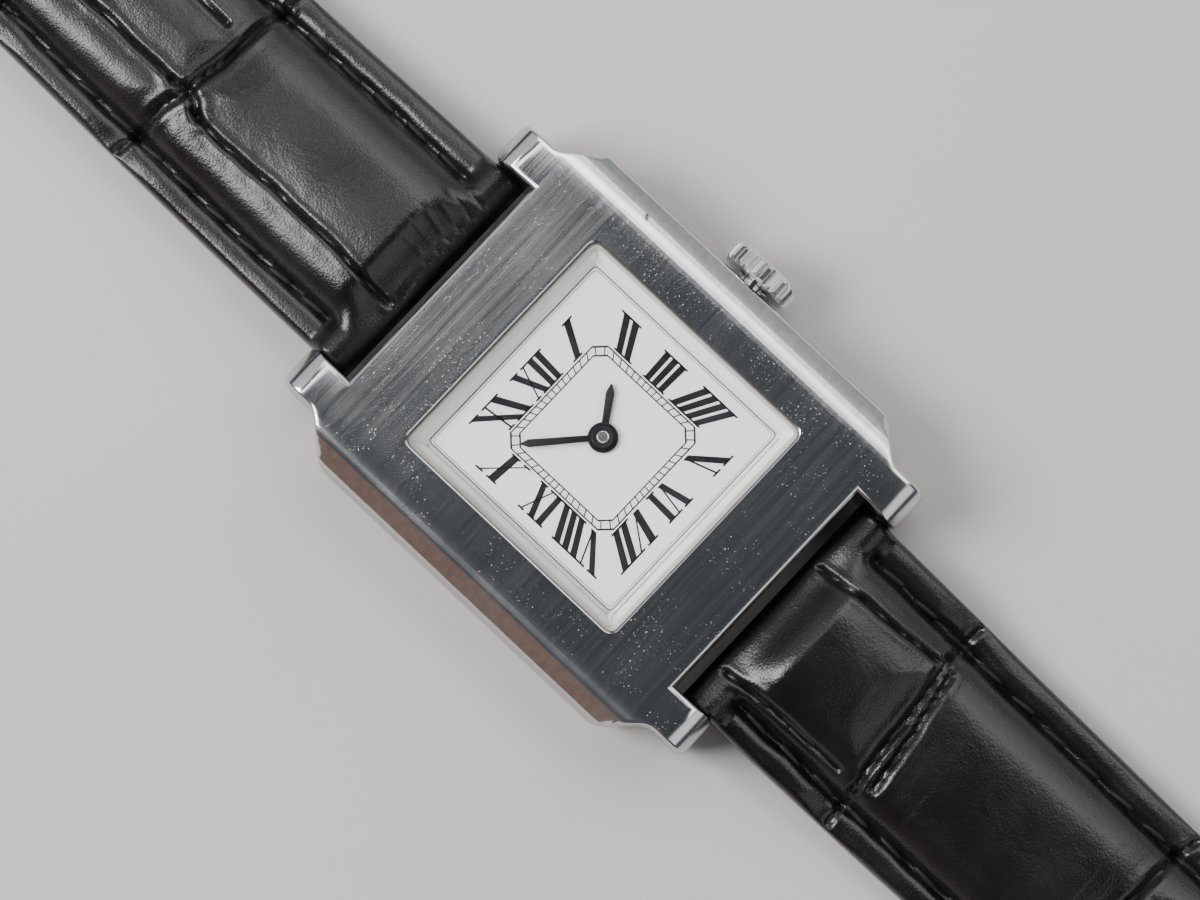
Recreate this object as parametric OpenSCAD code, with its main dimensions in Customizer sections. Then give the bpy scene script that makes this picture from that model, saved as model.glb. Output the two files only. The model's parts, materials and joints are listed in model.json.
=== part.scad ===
// Rectangular hand-wound wristwatch on a padded strap, lying open with the dial up.
// Origin: middle of the case back's outer face. X: towards the crown. Y: towards 12 o'clock. Z: up.

/* [Case] */
// Width of the case across its flanks
case_w = 29.4; // [28.4:0.1:31]
// Height of the top face above the case back's outer face
case_h = 7.3; // [7.2:0.1:8]
// Width of the flat top face between its bevels
top_flat_w = 25.6; // [24.5:0.1:26.5]
// Height of the bevel along each flank
bevel_h = 1.3; // [0.6:0.1:1.8]
// How far the flank leans out below the bevel
flank_lean = 0.4; // [0.1:0.05:0.6]
// Inside width of the case
cavity_w = 22.6; // [21.6:0.1:23]
// Inside length of the case
cavity_l = 24.8; // [23.8:0.1:26]
// Thickness of the top wall around the crystal
top_wall = 1.5; // [1.3:0.05:1.7]

/* [Lugs] */
// Distance from lug tip to lug tip
lug_span = 37.2; // [36.6:0.1:40]
// Length of a lug beyond the strap gap's edge
lug_l = 3.5; // [3.4:0.05:4]
// Width of the strap gap
lug_gap = 18; // [17:0.5:18.5]
// Width of one lug
lug_w = 3.1; // [2.6:0.1:3.4]
// Length of the curved shoulder between a lug and a flank
shoulder_l = 4; // [3:0.1:5]
// Length of the polished slope at a lug's tip
tip_slope_l = 1.4; // [1:0.1:1.6]
// Distance from a lug's tip to its spring bar
bar_inset = 1.3; // [1.2:0.05:1.4]
// Height of the spring bars
bar_z = 3.3; // [3:0.1:3.6]
// Radius of a spring bar's barrel
bar_r = 0.75; // [0.6:0.05:0.9]
// Radius of a spring bar's end pins
pin_r = 0.4; // [0.3:0.05:0.45]
// Length of each end pin
pin_l = 0.8; // [0.5:0.05:1.2]

/* [Crystal and dial] */
// Width of the crystal opening
opening_w = 18.8; // [18:0.1:19.2]
// Length of the crystal opening
opening_l = 19.2; // [18.4:0.1:20]
// Width of the crystal's bevelled border
crystal_bevel = 0.6; // [0.4:0.1:1.2]
// Thickness of the crystal
crystal_t = 1; // [0.8:0.05:1.1]
// Width of the crystal gasket
gasket_w = 0.3; // [0.2:0.05:0.4]
// Width of the sloped dial flange
rehaut_w = 1.1; // [0.8:0.1:1.4]
// Thickness of the dial
dial_t = 0.35; // [0.3:0.05:0.4]
// Height of the dial's underside
dial_z = 5.3; // [5.3:0.05:5.35]

/* [Hands] */
// Length of the hour hand
hour_l = 3.7; // [3:0.1:4.2]
// Length of the minute hand
minute_l = 5.6; // [5:0.1:6.4]
// Largest width of the hour hand
hour_w = 0.6; // [0.4:0.02:0.7]
// Largest width of the minute hand
minute_w = 0.54; // [0.36:0.02:0.6]
// Thickness of a hand
hand_t = 0.12; // [0.08:0.01:0.14]
// Radius of the hour hand's hub
hub_r = 1.05; // [0.9:0.05:1.3]
// Hour shown
hour_shown = 1; // [0:1:11]
// Minutes shown
minute_shown = 52; // [0:1:59]

/* [Case back] */
// Thickness of the case back
back_t = 0.9; // [0.7:0.05:0.9]
// How far the case back stays inside the case's outline
back_inset = 0.7; // [0.4:0.05:1]
// Height of the case back's snap rim
rim_h = 0.6; // [0.4:0.05:0.7]
// Thickness of the snap rim
rim_t = 0.6; // [0.4:0.05:0.8]

/* [Crown] */
// Radius of the crown
crown_r = 2.8; // [2.3:0.05:2.9]
// Length of the crown
crown_l = 1.7; // [1.6:0.1:2.2]
// Number of flutes on the crown
crown_flutes = 24; // [18:1:36]
// Depth of a flute
flute_d = 0.22; // [0.1:0.02:0.3]
// Gap between the crown and the case
crown_gap = 0.35; // [0.2:0.05:0.5]
// Travel of the crown when it is pulled to set the hands
crown_pull = 0.7; // [0.5:0.05:0.8]
// Height of the winding stem
stem_z = 3.1; // [3.1:0.05:3.2]
// Radius of the winding stem
stem_r = 0.45; // [0.35:0.05:0.5]
// Outer radius of the crown tube
tube_r = 0.95; // [0.9:0.05:1.05]
// Outer radius of the crown seal
seal_r = 1.35; // [1.25:0.05:1.5]

/* [Movement] */
// Radius of the movement
mov_r = 10; // [9.9:0.05:10.3]
// Thickness of the mainplate
plate_t = 0.7; // [0.6:0.05:0.75]
// Height of the mainplate's underside
plate_z = 4.1; // [4.1:0.01:4.14]
// Thickness of the bridges
bridge_t = 0.6; // [0.5:0.05:0.6]
// Height of the bridges' outer face
bridge_z = 1.5; // [1.48:0.01:1.52]
// Width of the mainplate's outer wall
wall_t = 0.7; // [0.5:0.05:0.8]
// Thickness of a train wheel
wheel_t = 0.16; // [0.12:0.01:0.18]
// Radius of a train wheel's arbor
arbor_r = 0.16; // [0.12:0.01:0.2]
// Radius of a pivot
pivot_r = 0.09; // [0.07:0.01:0.11]
// Tooth size (module) of the barrel
barrel_m = 0.12; // [0.116:0.001:0.122]
// Tooth size of the centre wheel
centre_m = 0.11; // [0.106:0.001:0.112]
// Tooth size of the third wheel
third_m = 0.09; // [0.087:0.001:0.092]
// Tooth size of the fourth wheel
fourth_m = 0.075; // [0.073:0.001:0.077]
// Tooth size of the motion work
motion_m = 0.1; // [0.098:0.001:0.102]
// Radius of the balance wheel
balance_r = 2.7; // [2.4:0.05:2.8]
// Radius of the escape wheel at its tooth tips
escape_r = 1.9; // [1.8:0.02:1.94]

/* [Strap] */
// Width of the strap at the lugs
strap_w = 17.9; // [16.5:0.1:17.9]
// Width of the strap at the buckle
strap_end_w = 16; // [14:0.1:16]
// Length of the buckle half, from spring bar to spring bar
buckle_half_l = 75; // [70:1:90]
// Length of the tail half
tail_half_l = 115; // [110:1:130]
// Thickness of the padded strap near the lugs
strap_t = 4.6; // [4:0.1:4.8]
// Thickness of the strap away from the padding
strap_end_t = 2.6; // [2.2:0.1:2.8]
// Thickness of the strap's flat margin
margin_t = 2.1; // [1.8:0.1:2.2]
// Width of the flat margin that carries the stitching
margin_w = 2.3; // [1.8:0.1:2.6]
// Thickness of the lining
lining_t = 0.5; // [0.4:0.05:0.7]
// Thickness of the top leather
leather_t = 0.7; // [0.5:0.05:0.9]
// Radius of the strap's fold round a spring bar
fold_r = 1.5; // [1.4:0.05:1.55]
// Number of buckle holes
hole_count = 7; // [5:1:8]
// Distance between buckle holes
hole_pitch = 6.5; // [5:0.5:7]
// Radius of a buckle hole
hole_r = 0.9; // [0.7:0.05:1]
// Distance from the tail's tip to its first hole
hole_start = 22; // [18:1:26]

/* [Keepers and buckle] */
// Width of a keeper along the strap
keeper_w = 5; // [4:0.5:6]
// Thickness of a keeper's leather
keeper_t = 0.95; // [0.8:0.05:0.95]
// Free height inside a keeper
keeper_h = 5.6; // [5.2:0.1:6]
// Distance from the buckle bar to the fixed keeper
fixed_keeper_s = 7; // [6:0.5:8]
// Distance from the buckle bar to the loose keeper
loose_keeper_s = 17; // [16:0.5:20]
// Length of the buckle frame beyond its bar
buckle_l = 10.5; // [9.5:0.5:12]
// Thickness of the buckle frame's arms
buckle_t = 1.7; // [1.4:0.1:2]
// Height of the buckle frame
buckle_h = 2.4; // [2:0.1:2.6]
// Width of the buckle's tongue
tongue_w = 1.7; // [1.4:0.1:1.7]
// Thickness of the buckle's tongue
tongue_t = 1; // [0.8:0.05:1.1]

/* [Clearances] */
// Clearance round a turning or sliding pin
run_gap = 0.03; // [0.02:0.01:0.04]
// Clearance between a piece and the seat it is put into
seat_gap = 0.02; // [0.01:0.01:0.03]
// Clearance between soft pieces and what they lie in
soft_gap = 0.1; // [0.05:0.05:0.2]

/* [Hidden] */

// Curves are true in the exact solids, so these only set how the preview looks
$fa = 6;
$fs = 0.1;

// Colours
steel_colour = [0.78, 0.78, 0.79];
brass_colour = [0.83, 0.68, 0.36];
ruby_colour = [0.75, 0.08, 0.2];
leather_colour = [0.06, 0.06, 0.06];

// A little more than nothing, so that a cut passes through the face it opens
cut = 0.2;

// Case outline
case_l = lug_span - 2 * lug_l;
lug_x = lug_gap / 2 + lug_w;
shoulder_steps = 8;
lug_root_y = case_l / 2 + 1;
bar_y = lug_span / 2 - bar_inset;
corner_r = 0.6;

// Levels from the back up
case_z = back_t;
cavity_top = case_h - top_wall;
crystal_z = case_h - crystal_t;
dial_top = dial_z + dial_t;
plate_top = plate_z + plate_t;
bridge_top = bridge_z + bridge_t;
keyless_z = bridge_z - 0.35;
keyless_t = 0.3;
keyless_screw_h = 0.12;
minute_wheel_z = plate_top + 0.08;
motion_t = 0.15;
hour_wheel_z = minute_wheel_z + motion_t + 0.05;
hour_hand_z = dial_top + 0.2;
minute_hand_z = hour_hand_z + 0.22;

// The hands' pipes
centre_arbor_r = 0.28;
cannon_r = 0.42;
hour_pipe_r = 0.7;
hour_angle = -(hour_shown + minute_shown / 60) * 30;
minute_angle = -minute_shown * 6;

// Tooth counts
barrel_n = 70;
centre_pinion_n = 10;
centre_n = 64;
third_pinion_n = 8;
third_n = 60;
fourth_pinion_n = 8;
fourth_n = 70;
escape_pinion_n = 7;
escape_n = 15;
cannon_n = 12;
minute_n = 36;
minute_pinion_n = 10;
hour_n = 40;
setting_n = 16;
crown_wheel_n = 24;
ratchet_n = 36;
winding_n = 16;

// Where the arbors stand: each a distance and a direction from the one before
function polar(r, a) = [r * cos(a), r * sin(a)];
function pitch_r(n, m) = n * m / 2;
function mesh_gap(n1, n2, m) = pitch_r(n1 + n2, m);
function angle_to(p, q) = atan2(q[1] - p[1], q[0] - p[0]);
centre_p = [0, 0];
barrel_a = 72;
third_a = 190;
fourth_a = -70;
escape_a = -30;
pallet_a = -10;
balance_a = 20;
minute_a = -35;
setting_a = 12;
barrel_p = polar(mesh_gap(barrel_n, centre_pinion_n, barrel_m), barrel_a);
third_p = polar(mesh_gap(centre_n, third_pinion_n, centre_m), third_a);
fourth_p = third_p + polar(mesh_gap(third_n, fourth_pinion_n, third_m), fourth_a);
escape_p = fourth_p + polar(mesh_gap(fourth_n, escape_pinion_n, fourth_m), escape_a);
pallet_d = escape_r + 0.5;
pallet_p = escape_p + polar(pallet_d, pallet_a);
balance_d = 2.6;
balance_p = pallet_p + polar(balance_d, balance_a);
minute_p = polar(mesh_gap(cannon_n, minute_n, motion_m), minute_a);
setting_p = minute_p + polar(mesh_gap(minute_n, setting_n, motion_m), setting_a);
crown_wheel_p = mov_r * [0.46, 0];
winding_m = 2 * norm(crown_wheel_p - barrel_p) / (crown_wheel_n + ratchet_n);
hour_m = 2 * norm(minute_p) / (minute_pinion_n + hour_n);
click_p = barrel_p + polar(pitch_r(ratchet_n, winding_m) + 0.95, 140);
setting_lever_p = mov_r * [0.83, -0.29];
jewelled = [third_p, fourth_p, escape_p, pallet_p, balance_p];

// Barrel
barrel_pivot_r = 0.5;
barrel_hook_r = 0.9;

// Face teeth of the crown wheel
contrate_h = 0.25;
contrate_outer_r = pitch_r(crown_wheel_n, winding_m) - 0.25;
contrate_inner_r = contrate_outer_r - 0.45;
contrate_share = 0.22;

// Levels of the train. Arbors end in shoulders near the plates, and their pivots run on into the bearings.
train_low = bridge_top - 0.35;
train_high = plate_z + 0.35;
shoulder_gap = 0.06;
pinion_over = 0.05;
barrel_z = bridge_top + 0.1;
barrel_rim_t = 0.4;
barrel_h = 1.3;
barrel_wall = 0.3;
third_z = bridge_top + 0.22;
fourth_z = third_z + 1.13;
centre_z = fourth_z + wheel_t + 0.14;
escape_z = fourth_z - 0.4;
fork_z = escape_z - 0.02;
fork_t = 0.2;
balance_z = bridge_top + 0.2;
balance_t = 0.3;
pallet_cock_z = balance_z + balance_t + 0.12;
pallet_cock_t = 0.18;

// Overlap that joins a wheel to its arbor
bond = 0.02;

// Teeth: share of a pitch that a tooth covers at its root and at its tip, and its height in modules
root_share = 0.27;
tip_share = 0.1;
addendum = 0.8;
dedendum = 1.15;

// Phase of wheel 2 so that it meshes with wheel 1, which has a tooth at angle phase1 * 360 / n1
function mesh_phase(a, n1, phase1, n2) = (a + 180) * n2 / 360 + (a * n1 / 360 - phase1) + 0.5;

function tooth_points(n, m, phase) = [
    for (i = [0:n - 1])
        let (p = 360 / n, a = (i + phase) * p)
            for (k = [[-root_share, -dedendum], [-tip_share, addendum],
                      [tip_share, addendum], [root_share, -dedendum]])
                polar(pitch_r(n, m) + k[1] * m, a + k[0] * p)
];

// Phases: which way each wheel's teeth stand, so that they mesh
cannon_phase = minute_a * cannon_n / 360;
minute_phase = mesh_phase(minute_a, cannon_n, cannon_phase, minute_n);
minute_pinion_phase = (minute_a + 180) * minute_pinion_n / 360;
crown_wheel_phase = angle_to(crown_wheel_p, barrel_p) * crown_wheel_n / 360;
centre_pinion_phase = barrel_a * centre_pinion_n / 360;
centre_phase = third_a * centre_n / 360;
third_pinion_phase = mesh_phase(third_a, centre_n, centre_phase, third_pinion_n);
third_phase = fourth_a * third_n / 360;
fourth_pinion_phase = mesh_phase(fourth_a, third_n, third_phase, fourth_pinion_n);
fourth_phase = escape_a * fourth_n / 360;
escape_pinion_phase = mesh_phase(escape_a, fourth_n, fourth_phase, escape_pinion_n);
drum_r = pitch_r(barrel_n, barrel_m) - dedendum * barrel_m - 0.05;

// Crown and stem
crown_x = case_w / 2 + crown_gap;
tube_out = 0.85;
crown_cavity = tube_out + 0.15;
winding_x = 6.3;
winding_l = 1.1;
winding_r = stem_z - bridge_z - 0.35;
clutch_l = 1;
clutch_x = winding_x - 0.05 - clutch_l;
clutch_r = 0.8;
stem_square = 0.56;
stem_square_x = clutch_x - 1;
stem_pilot_l = 0.5;
groove_x = 8.9;
groove_w = 0.45;
groove_r = stem_r - 0.15;

// Screws stand on bosses of the mainplate: distance and direction from the middle
boss_r = 0.8;
boss_ring = mov_r * 0.86;
barrel_bosses = [[boss_ring, 27], [boss_ring, 118]];
train_bosses = [[boss_ring, 165], [boss_ring, 212], [boss_ring, 262]];
cock_boss = [mov_r * 0.87, -74];
pallet_boss = mov_r * [0.01, -0.76];
pallet_boss_r = 0.55;
screw_r = 0.25;
screw_head_r = 0.55;
screw_head_h = 0.3;
screw_depth = 1.2;
plate_gap = 0.15;

// The line on which the barrel bridge and the train bridge meet
outside = mov_r * 1.2;
split_line = mov_r * [[-0.7, 1.2], [-0.33, 0.17], [0.12, 0.12], [0.17, -0.095]];
train_line = mov_r * [[0.14, -0.26], [0.09, -0.62], [-0.02, -1.2]];
jewel_r = 0.42;

// Strap stations: places along a half, as a distance from the spring bar
fold_z = bar_z - fold_r;
tail_rest_z = 0;
buckle_rest_z = 1;
drop_l = 15;
pad_rise_l = 3.5;
pad_l = 46;
pad_fade_l = 18;
tip_l = 9;
ring_count = 7;
buckle_bar_z = buckle_rest_z + fold_r;
buckle_y = bar_y + buckle_half_l;
slot_w = tongue_w + 0.8;
slot_l = 4;
keeper_inside_r = keeper_t * 0.15;
keeper_outside_r = keeper_t * 0.95;
buckle_in_w = strap_end_w + 1;
front_bar_l = 1.9;
tongue_rest_z = buckle_h - 0.35;

// Smooth step from 0 to 1 as t goes from 0 to 1
function smooth(t) = let (c = min(1, max(0, t))) c * c * (3 - 2 * c);
function mix(a, b, t) = a + (b - a) * t;

// Underside, thickness and half width of a strap half at distance s from its spring bar
function under(s, rest_z) = mix(fold_z, rest_z, smooth((s - 1) / drop_l));
function thick(s) = s < pad_rise_l
    ? mix(2 * fold_r, strap_t, smooth(s / pad_rise_l))
    : mix(strap_t, strap_end_t, smooth((s - pad_rise_l) / (pad_l + pad_fade_l)));
function half_w(s, len, tip) = let (full = mix(strap_w, strap_end_w, smooth(s / (buckle_half_l * 0.8))) / 2)
    tip == 0 || s < len - tip ? full : full * sqrt(max(0.02, 1 - pow((s - len + tip) / tip, 2)));

// Cross-section of the strap as points [x, height]: flat margins and a crowned middle
function section_top(hw, t, x) = let (
        edge = min(margin_t, t),
        inner = max(0.01, hw - margin_w),
        u = min(1, abs(x) / inner))
    mix(t, edge, pow(u, 5));

function section_ring(s, len, tip, rest_z, inset, low, high) = let (
        hw = half_w(s, len, tip) - inset,
        hw_full = half_w(s, len, tip),
        z0 = under(s, rest_z),
        xs = [for (k = [-ring_count:ring_count]) hw * sin(90 * k / ring_count)])
    concat(
        [for (x = xs) [x, s, z0 + section_top(hw_full, thick(s), x) - high]],
        [[hw, s, z0 + low], [-hw, s, z0 + low]]);

// Closed loft through rings that all have the same number of points. Its ends fan out from a ring's
// last point, which lies in line with no two others.
module loft(rings) {
    n = len(rings[0]);
    last = len(rings) - 1;
    points = [for (r = rings) each r];
    faces = concat(
        [for (j = [0:n - 3]) [n - 1, j, j + 1]],
        [for (j = [0:n - 3]) [last * n + n - 1, last * n + j + 1, last * n + j]],
        [for (i = [0:last - 1], j = [0:n - 1])
            let (a = i * n + j, b = i * n + (j + 1) % n)
                each [[a, a + n, b], [b, a + n, b + n]]]);
    polyhedron(points, faces, convexity = 6);
}

// Profile given as [y, z], drawn out along X
module prism_x(profile, x0, x1) {
    translate([x0, 0, 0])
        rotate([90, 0, 90])
            linear_extrude(x1 - x0)
                polygon(profile);
}

// Profile given as [x, z], drawn out along Y
module prism_y(profile, y0, y1) {
    translate([0, y1, 0])
        rotate([90, 0, 0])
            linear_extrude(y1 - y0)
                polygon(profile);
}

// Upright plate of a polygon
module slab(points, z0, t) {
    translate([0, 0, z0])
        linear_extrude(t)
            polygon(points);
}

module disc(p, r, z0, t) {
    translate([p[0], p[1], z0])
        cylinder(h = t, r = r);
}

// Cylinder along X
module rod_x(x0, x1, r, y = 0, z = 0) {
    translate([x0, y, z])
        rotate([0, 90, 0])
            cylinder(h = x1 - x0, r = r);
}

function rect(w, l) = [[-w / 2, -l / 2], [w / 2, -l / 2], [w / 2, l / 2], [-w / 2, l / 2]];

// Rectangle with round corners
function round_rect(w, l, r, steps = 4) = [
    for (q = [[1, 1, 0], [-1, 1, 90], [-1, -1, 180], [1, -1, 270]])
        for (i = [0:steps])
            [q[0] * (w / 2 - r) + r * cos(q[2] + 90 * i / steps),
             q[1] * (l / 2 - r) + r * sin(q[2] + 90 * i / steps)]
];

module frame_plate(w, l, hole_w, hole_l, z0, t, r, hole_r) {
    difference() {
        slab(round_rect(w, l, r), z0, t);
        slab(round_rect(hole_w, hole_l, hole_r), z0 - cut, t + 2 * cut);
    }
}

// A toothed wheel of flat faces, with a polygonal hole for its arbor
module toothed(p, n, m, phase, z0, t, hole) {
    translate([p[0], p[1], z0])
        linear_extrude(t)
            difference() {
                polygon(tooth_points(n, m, phase));
                circle(r = hole, $fn = 12);
            }
}

// One quarter of the case outline, from the strap gap round the lug to the flank
function outline_quarter() = concat(
    [[lug_gap / 2, case_l / 2], [lug_gap / 2, lug_span / 2], [lug_x, lug_span / 2]],
    [for (i = [0:shoulder_steps])
        [lug_x + (case_w / 2 - lug_x) * (1 - cos(180 * i / shoulder_steps)) / 2,
         lug_root_y - shoulder_l * i / shoulder_steps]]);

function flip_x(points) = [for (i = [len(points) - 1:-1:0]) [-points[i][0], points[i][1]]];
function turn(points) = [for (p = points) -p];
function case_outline() = let (half = concat(flip_x(outline_quarter()), outline_quarter()))
    concat(half, turn(half));

function case_section() = [
    [-case_w / 2 + 2 * flank_lean, case_z], [case_w / 2 - 2 * flank_lean, case_z],
    [case_w / 2, stem_z], [case_w / 2 - flank_lean, case_h - bevel_h],
    [top_flat_w / 2, case_h], [-top_flat_w / 2, case_h],
    [-case_w / 2 + flank_lean, case_h - bevel_h], [-case_w / 2, stem_z]
];

function lug_side(sign) = [
    [sign * lug_root_y, case_z], [sign * (bar_y + 0.2), case_z + 0.5],
    [sign * (lug_span / 2 - 0.15), case_z + 1.4], [sign * lug_span / 2, case_z + 2],
    [sign * lug_span / 2, case_h - 1.8], [sign * (lug_span / 2 - 0.25), case_h - 1],
    [sign * (lug_span / 2 - tip_slope_l), case_h]
];

module case_body() {
    color(steel_colour)
        difference() {
            intersection() {
                slab(case_outline(), case_z, case_h - case_z);
                prism_y(case_section(), -lug_span / 2, lug_span / 2);
                prism_x(concat(lug_side(1), [for (i = [6:-1:0]) lug_side(-1)[i]]), -case_w, case_w);
            }
            slab(round_rect(cavity_w, cavity_l, corner_r), case_z - cut, cavity_top - case_z + cut);
            slab(round_rect(opening_w, opening_l, corner_r), cavity_top - cut, case_h);
            rod_x(0, case_w, tube_r + seat_gap, 0, stem_z);
            for (sx = [-1, 1], sy = [-1, 1])
                rod_x(min(sx * lug_gap / 2, sx * (lug_gap / 2 + pin_l + cut)),
                      max(sx * lug_gap / 2, sx * (lug_gap / 2 + pin_l + cut)),
                      pin_r + run_gap, sy * bar_y, bar_z);
        }
}

module case_back() {
    inner_w = cavity_w - 2 * seat_gap;
    inner_l = cavity_l - 2 * seat_gap;
    plate_w = case_w - 2 * back_inset;
    plate_l = case_l - 2 * back_inset;
    edge = 0.35;
    color(steel_colour) {
        intersection() {
            slab(round_rect(plate_w, plate_l, 2.5), 0, back_t);
            prism_y([[-plate_w / 2 + edge, 0], [plate_w / 2 - edge, 0], [plate_w / 2, edge],
                     [plate_w / 2, back_t], [-plate_w / 2, back_t], [-plate_w / 2, edge]],
                    -plate_l, plate_l);
        }
        frame_plate(inner_w, inner_l, inner_w - 2 * rim_t, inner_l - 2 * rim_t,
                    back_t, rim_h, corner_r, corner_r / 2);
    }
}

module back_gasket() {
    // Lies inside the snap rim, on the back's inner face
    outer_w = cavity_w - 2 * seat_gap - 2 * rim_t - 2 * seat_gap;
    outer_l = cavity_l - 2 * seat_gap - 2 * rim_t - 2 * seat_gap;
    color([0.1, 0.1, 0.1])
        frame_plate(outer_w, outer_l, outer_w - 1, outer_l - 1, back_t, 0.3, corner_r / 2, corner_r / 4);
}

module crystal() {
    w = opening_w - 2 * gasket_w;
    l = opening_l - 2 * gasket_w;
    drop = crystal_bevel / 2;
    color([0.85, 0.92, 0.95, 0.35])
        intersection() {
            slab(round_rect(w - 2 * seat_gap, l - 2 * seat_gap, corner_r / 2), crystal_z, crystal_t);
            prism_y([[-w / 2, crystal_z], [w / 2, crystal_z], [w / 2, case_h - drop],
                     [w / 2 - crystal_bevel, case_h], [-w / 2 + crystal_bevel, case_h],
                     [-w / 2, case_h - drop]], -l, l);
            prism_x([[-l / 2, crystal_z], [l / 2, crystal_z], [l / 2, case_h - drop],
                     [l / 2 - crystal_bevel, case_h], [-l / 2 + crystal_bevel, case_h],
                     [-l / 2, case_h - drop]], -w, w);
        }
}

module crystal_gasket() {
    color([0.9, 0.9, 0.88])
        frame_plate(opening_w - 2 * seat_gap, opening_l - 2 * seat_gap,
                    opening_w - 2 * gasket_w, opening_l - 2 * gasket_w,
                    crystal_z, crystal_t / 2, corner_r, corner_r / 2);
}

// The ring that slopes from the crystal down to the dial
module rehaut() {
    z1 = crystal_z - seat_gap;
    outer_w = opening_w - 2 * seat_gap;
    outer_l = opening_l - 2 * seat_gap;
    lip = 0.15;
    inner_w = opening_w - 2 * rehaut_w;
    inner_l = opening_l - 2 * rehaut_w;
    color([0.86, 0.87, 0.86])
        difference() {
            slab(round_rect(outer_w, outer_l, corner_r), dial_top, z1 - dial_top);
            intersection() {
                prism_y([[-inner_w / 2, dial_top - cut], [inner_w / 2, dial_top - cut],
                         [inner_w / 2, dial_top + lip], [outer_w / 2 - lip, z1 + cut],
                         [-outer_w / 2 + lip, z1 + cut], [-inner_w / 2, dial_top + lip]],
                        -opening_l, opening_l);
                prism_x([[-inner_l / 2, dial_top - cut], [inner_l / 2, dial_top - cut],
                         [inner_l / 2, dial_top + lip], [outer_l / 2 - lip, z1 + cut],
                         [-outer_l / 2 + lip, z1 + cut], [-inner_l / 2, dial_top + lip]],
                        -opening_w, opening_w);
            }
        }
}

module dial() {
    color([0.95, 0.95, 0.94])
        difference() {
            slab(round_rect(cavity_w - 2 * soft_gap, cavity_l - 2 * soft_gap, corner_r), dial_z, dial_t);
            disc(centre_p, hour_pipe_r + 0.15, dial_z - cut, dial_t + 2 * cut);
        }
}

module crown_tube() {
    color(steel_colour)
        difference() {
            rod_x(cavity_w / 2, crown_x + tube_out, tube_r, 0, stem_z);
            rod_x(0, crown_x + case_w, stem_r + run_gap, 0, stem_z);
        }
}

module spring_bar(w, y, z) {
    rod_x(-w / 2 + soft_gap / 2, w / 2 - soft_gap / 2, bar_r, y, z);
    rod_x(-w / 2 - pin_l, w / 2 + pin_l, pin_r, y, z);
}

module lug_spring_bars() {
    color(steel_colour)
        for (sy = [-1, 1])
            spring_bar(lug_gap, sy * bar_y, bar_z);
}

// Frame that centres the round movement in the rectangular case
module movement_holder() {
    z0 = back_t + rim_h + soft_gap;
    color([0.85, 0.85, 0.8])
        difference() {
            slab(round_rect(cavity_w - 2 * seat_gap, cavity_l - 2 * seat_gap, corner_r), z0, dial_z - z0);
            disc(centre_p, mov_r + seat_gap, z0 - cut, dial_z);
            rod_x(0, case_w, tube_r + soft_gap, 0, stem_z);
        }
}

module mainplate() {
    color(brass_colour)
        difference() {
            union() {
                disc(centre_p, mov_r, plate_z, plate_t);
                difference() {
                    disc(centre_p, mov_r, bridge_top, plate_z - bridge_top + seat_gap);
                    disc(centre_p, mov_r - wall_t, bridge_top - cut, plate_z);
                }
                for (b = concat(barrel_bosses, train_bosses, [cock_boss]))
                    disc(polar(b[0], b[1]), boss_r, bridge_top, plate_z - bridge_top + seat_gap);
                disc(pallet_boss, pallet_boss_r, pallet_cock_z + pallet_cock_t,
                     plate_z - pallet_cock_z - pallet_cock_t + seat_gap);
            }
            // Way for the stem, and a window over the winding pinion
            rod_x(mov_r - 2, mov_r + 1, stem_r + 0.15, 0, stem_z);
            translate([winding_x - 0.2, -winding_r - 0.2, plate_z - cut])
                cube([winding_l + 0.4, 2 * winding_r + 0.4, cut + max(0.02, stem_z + winding_r + 0.15 - plate_z)]);
            // Bearings
            disc(centre_p, centre_arbor_r + run_gap, plate_z - cut, plate_t + 2 * cut);
            disc(barrel_p, barrel_pivot_r + run_gap, plate_z - cut, plate_t + 2 * cut);
            disc(setting_lever_p, arbor_r + run_gap, plate_z - cut, plate_t + 2 * cut);
            for (p = jewelled)
                disc(p, jewel_r + seat_gap, plate_z - cut, plate_t + 2 * cut);
            for (b = concat(barrel_bosses, train_bosses, [cock_boss]))
                disc(polar(b[0], b[1]), screw_r + seat_gap, bridge_top - cut, screw_depth + cut);
        }
}

module screw_holes(bosses) {
    for (b = bosses)
        disc(polar(b[0], b[1]), screw_r + seat_gap, bridge_z - cut, bridge_t + 2 * cut);
}

module barrel_bridge() {
    color(steel_colour)
        difference() {
            intersection() {
                disc(centre_p, mov_r, bridge_z, bridge_t);
                slab(concat(split_line, [[outside, split_line[3][1]], [outside, outside]]),
                     bridge_z - cut, bridge_t + 2 * cut);
            }
            disc(barrel_p, barrel_pivot_r + run_gap, bridge_z - cut, bridge_t + 2 * cut);
            // Recess for the crown wheel's lower teeth, and a window for the winding pinion
            difference() {
                disc(crown_wheel_p, contrate_outer_r + 0.15, bridge_z - cut, contrate_h + 0.08 + cut);
                disc(crown_wheel_p, contrate_inner_r - 0.15, bridge_z - 2 * cut, contrate_h + 4 * cut);
            }
            translate([winding_x - 0.2, -1.4, bridge_z - cut])
                cube([winding_l + 0.4, 2.8, bridge_t + 2 * cut]);
            disc(crown_wheel_p, arbor_r + seat_gap, bridge_z - cut, bridge_t + 2 * cut);
            disc(click_p, arbor_r + run_gap, bridge_z - cut, bridge_t + 2 * cut);
            screw_holes(barrel_bosses);
        }
}

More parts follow.
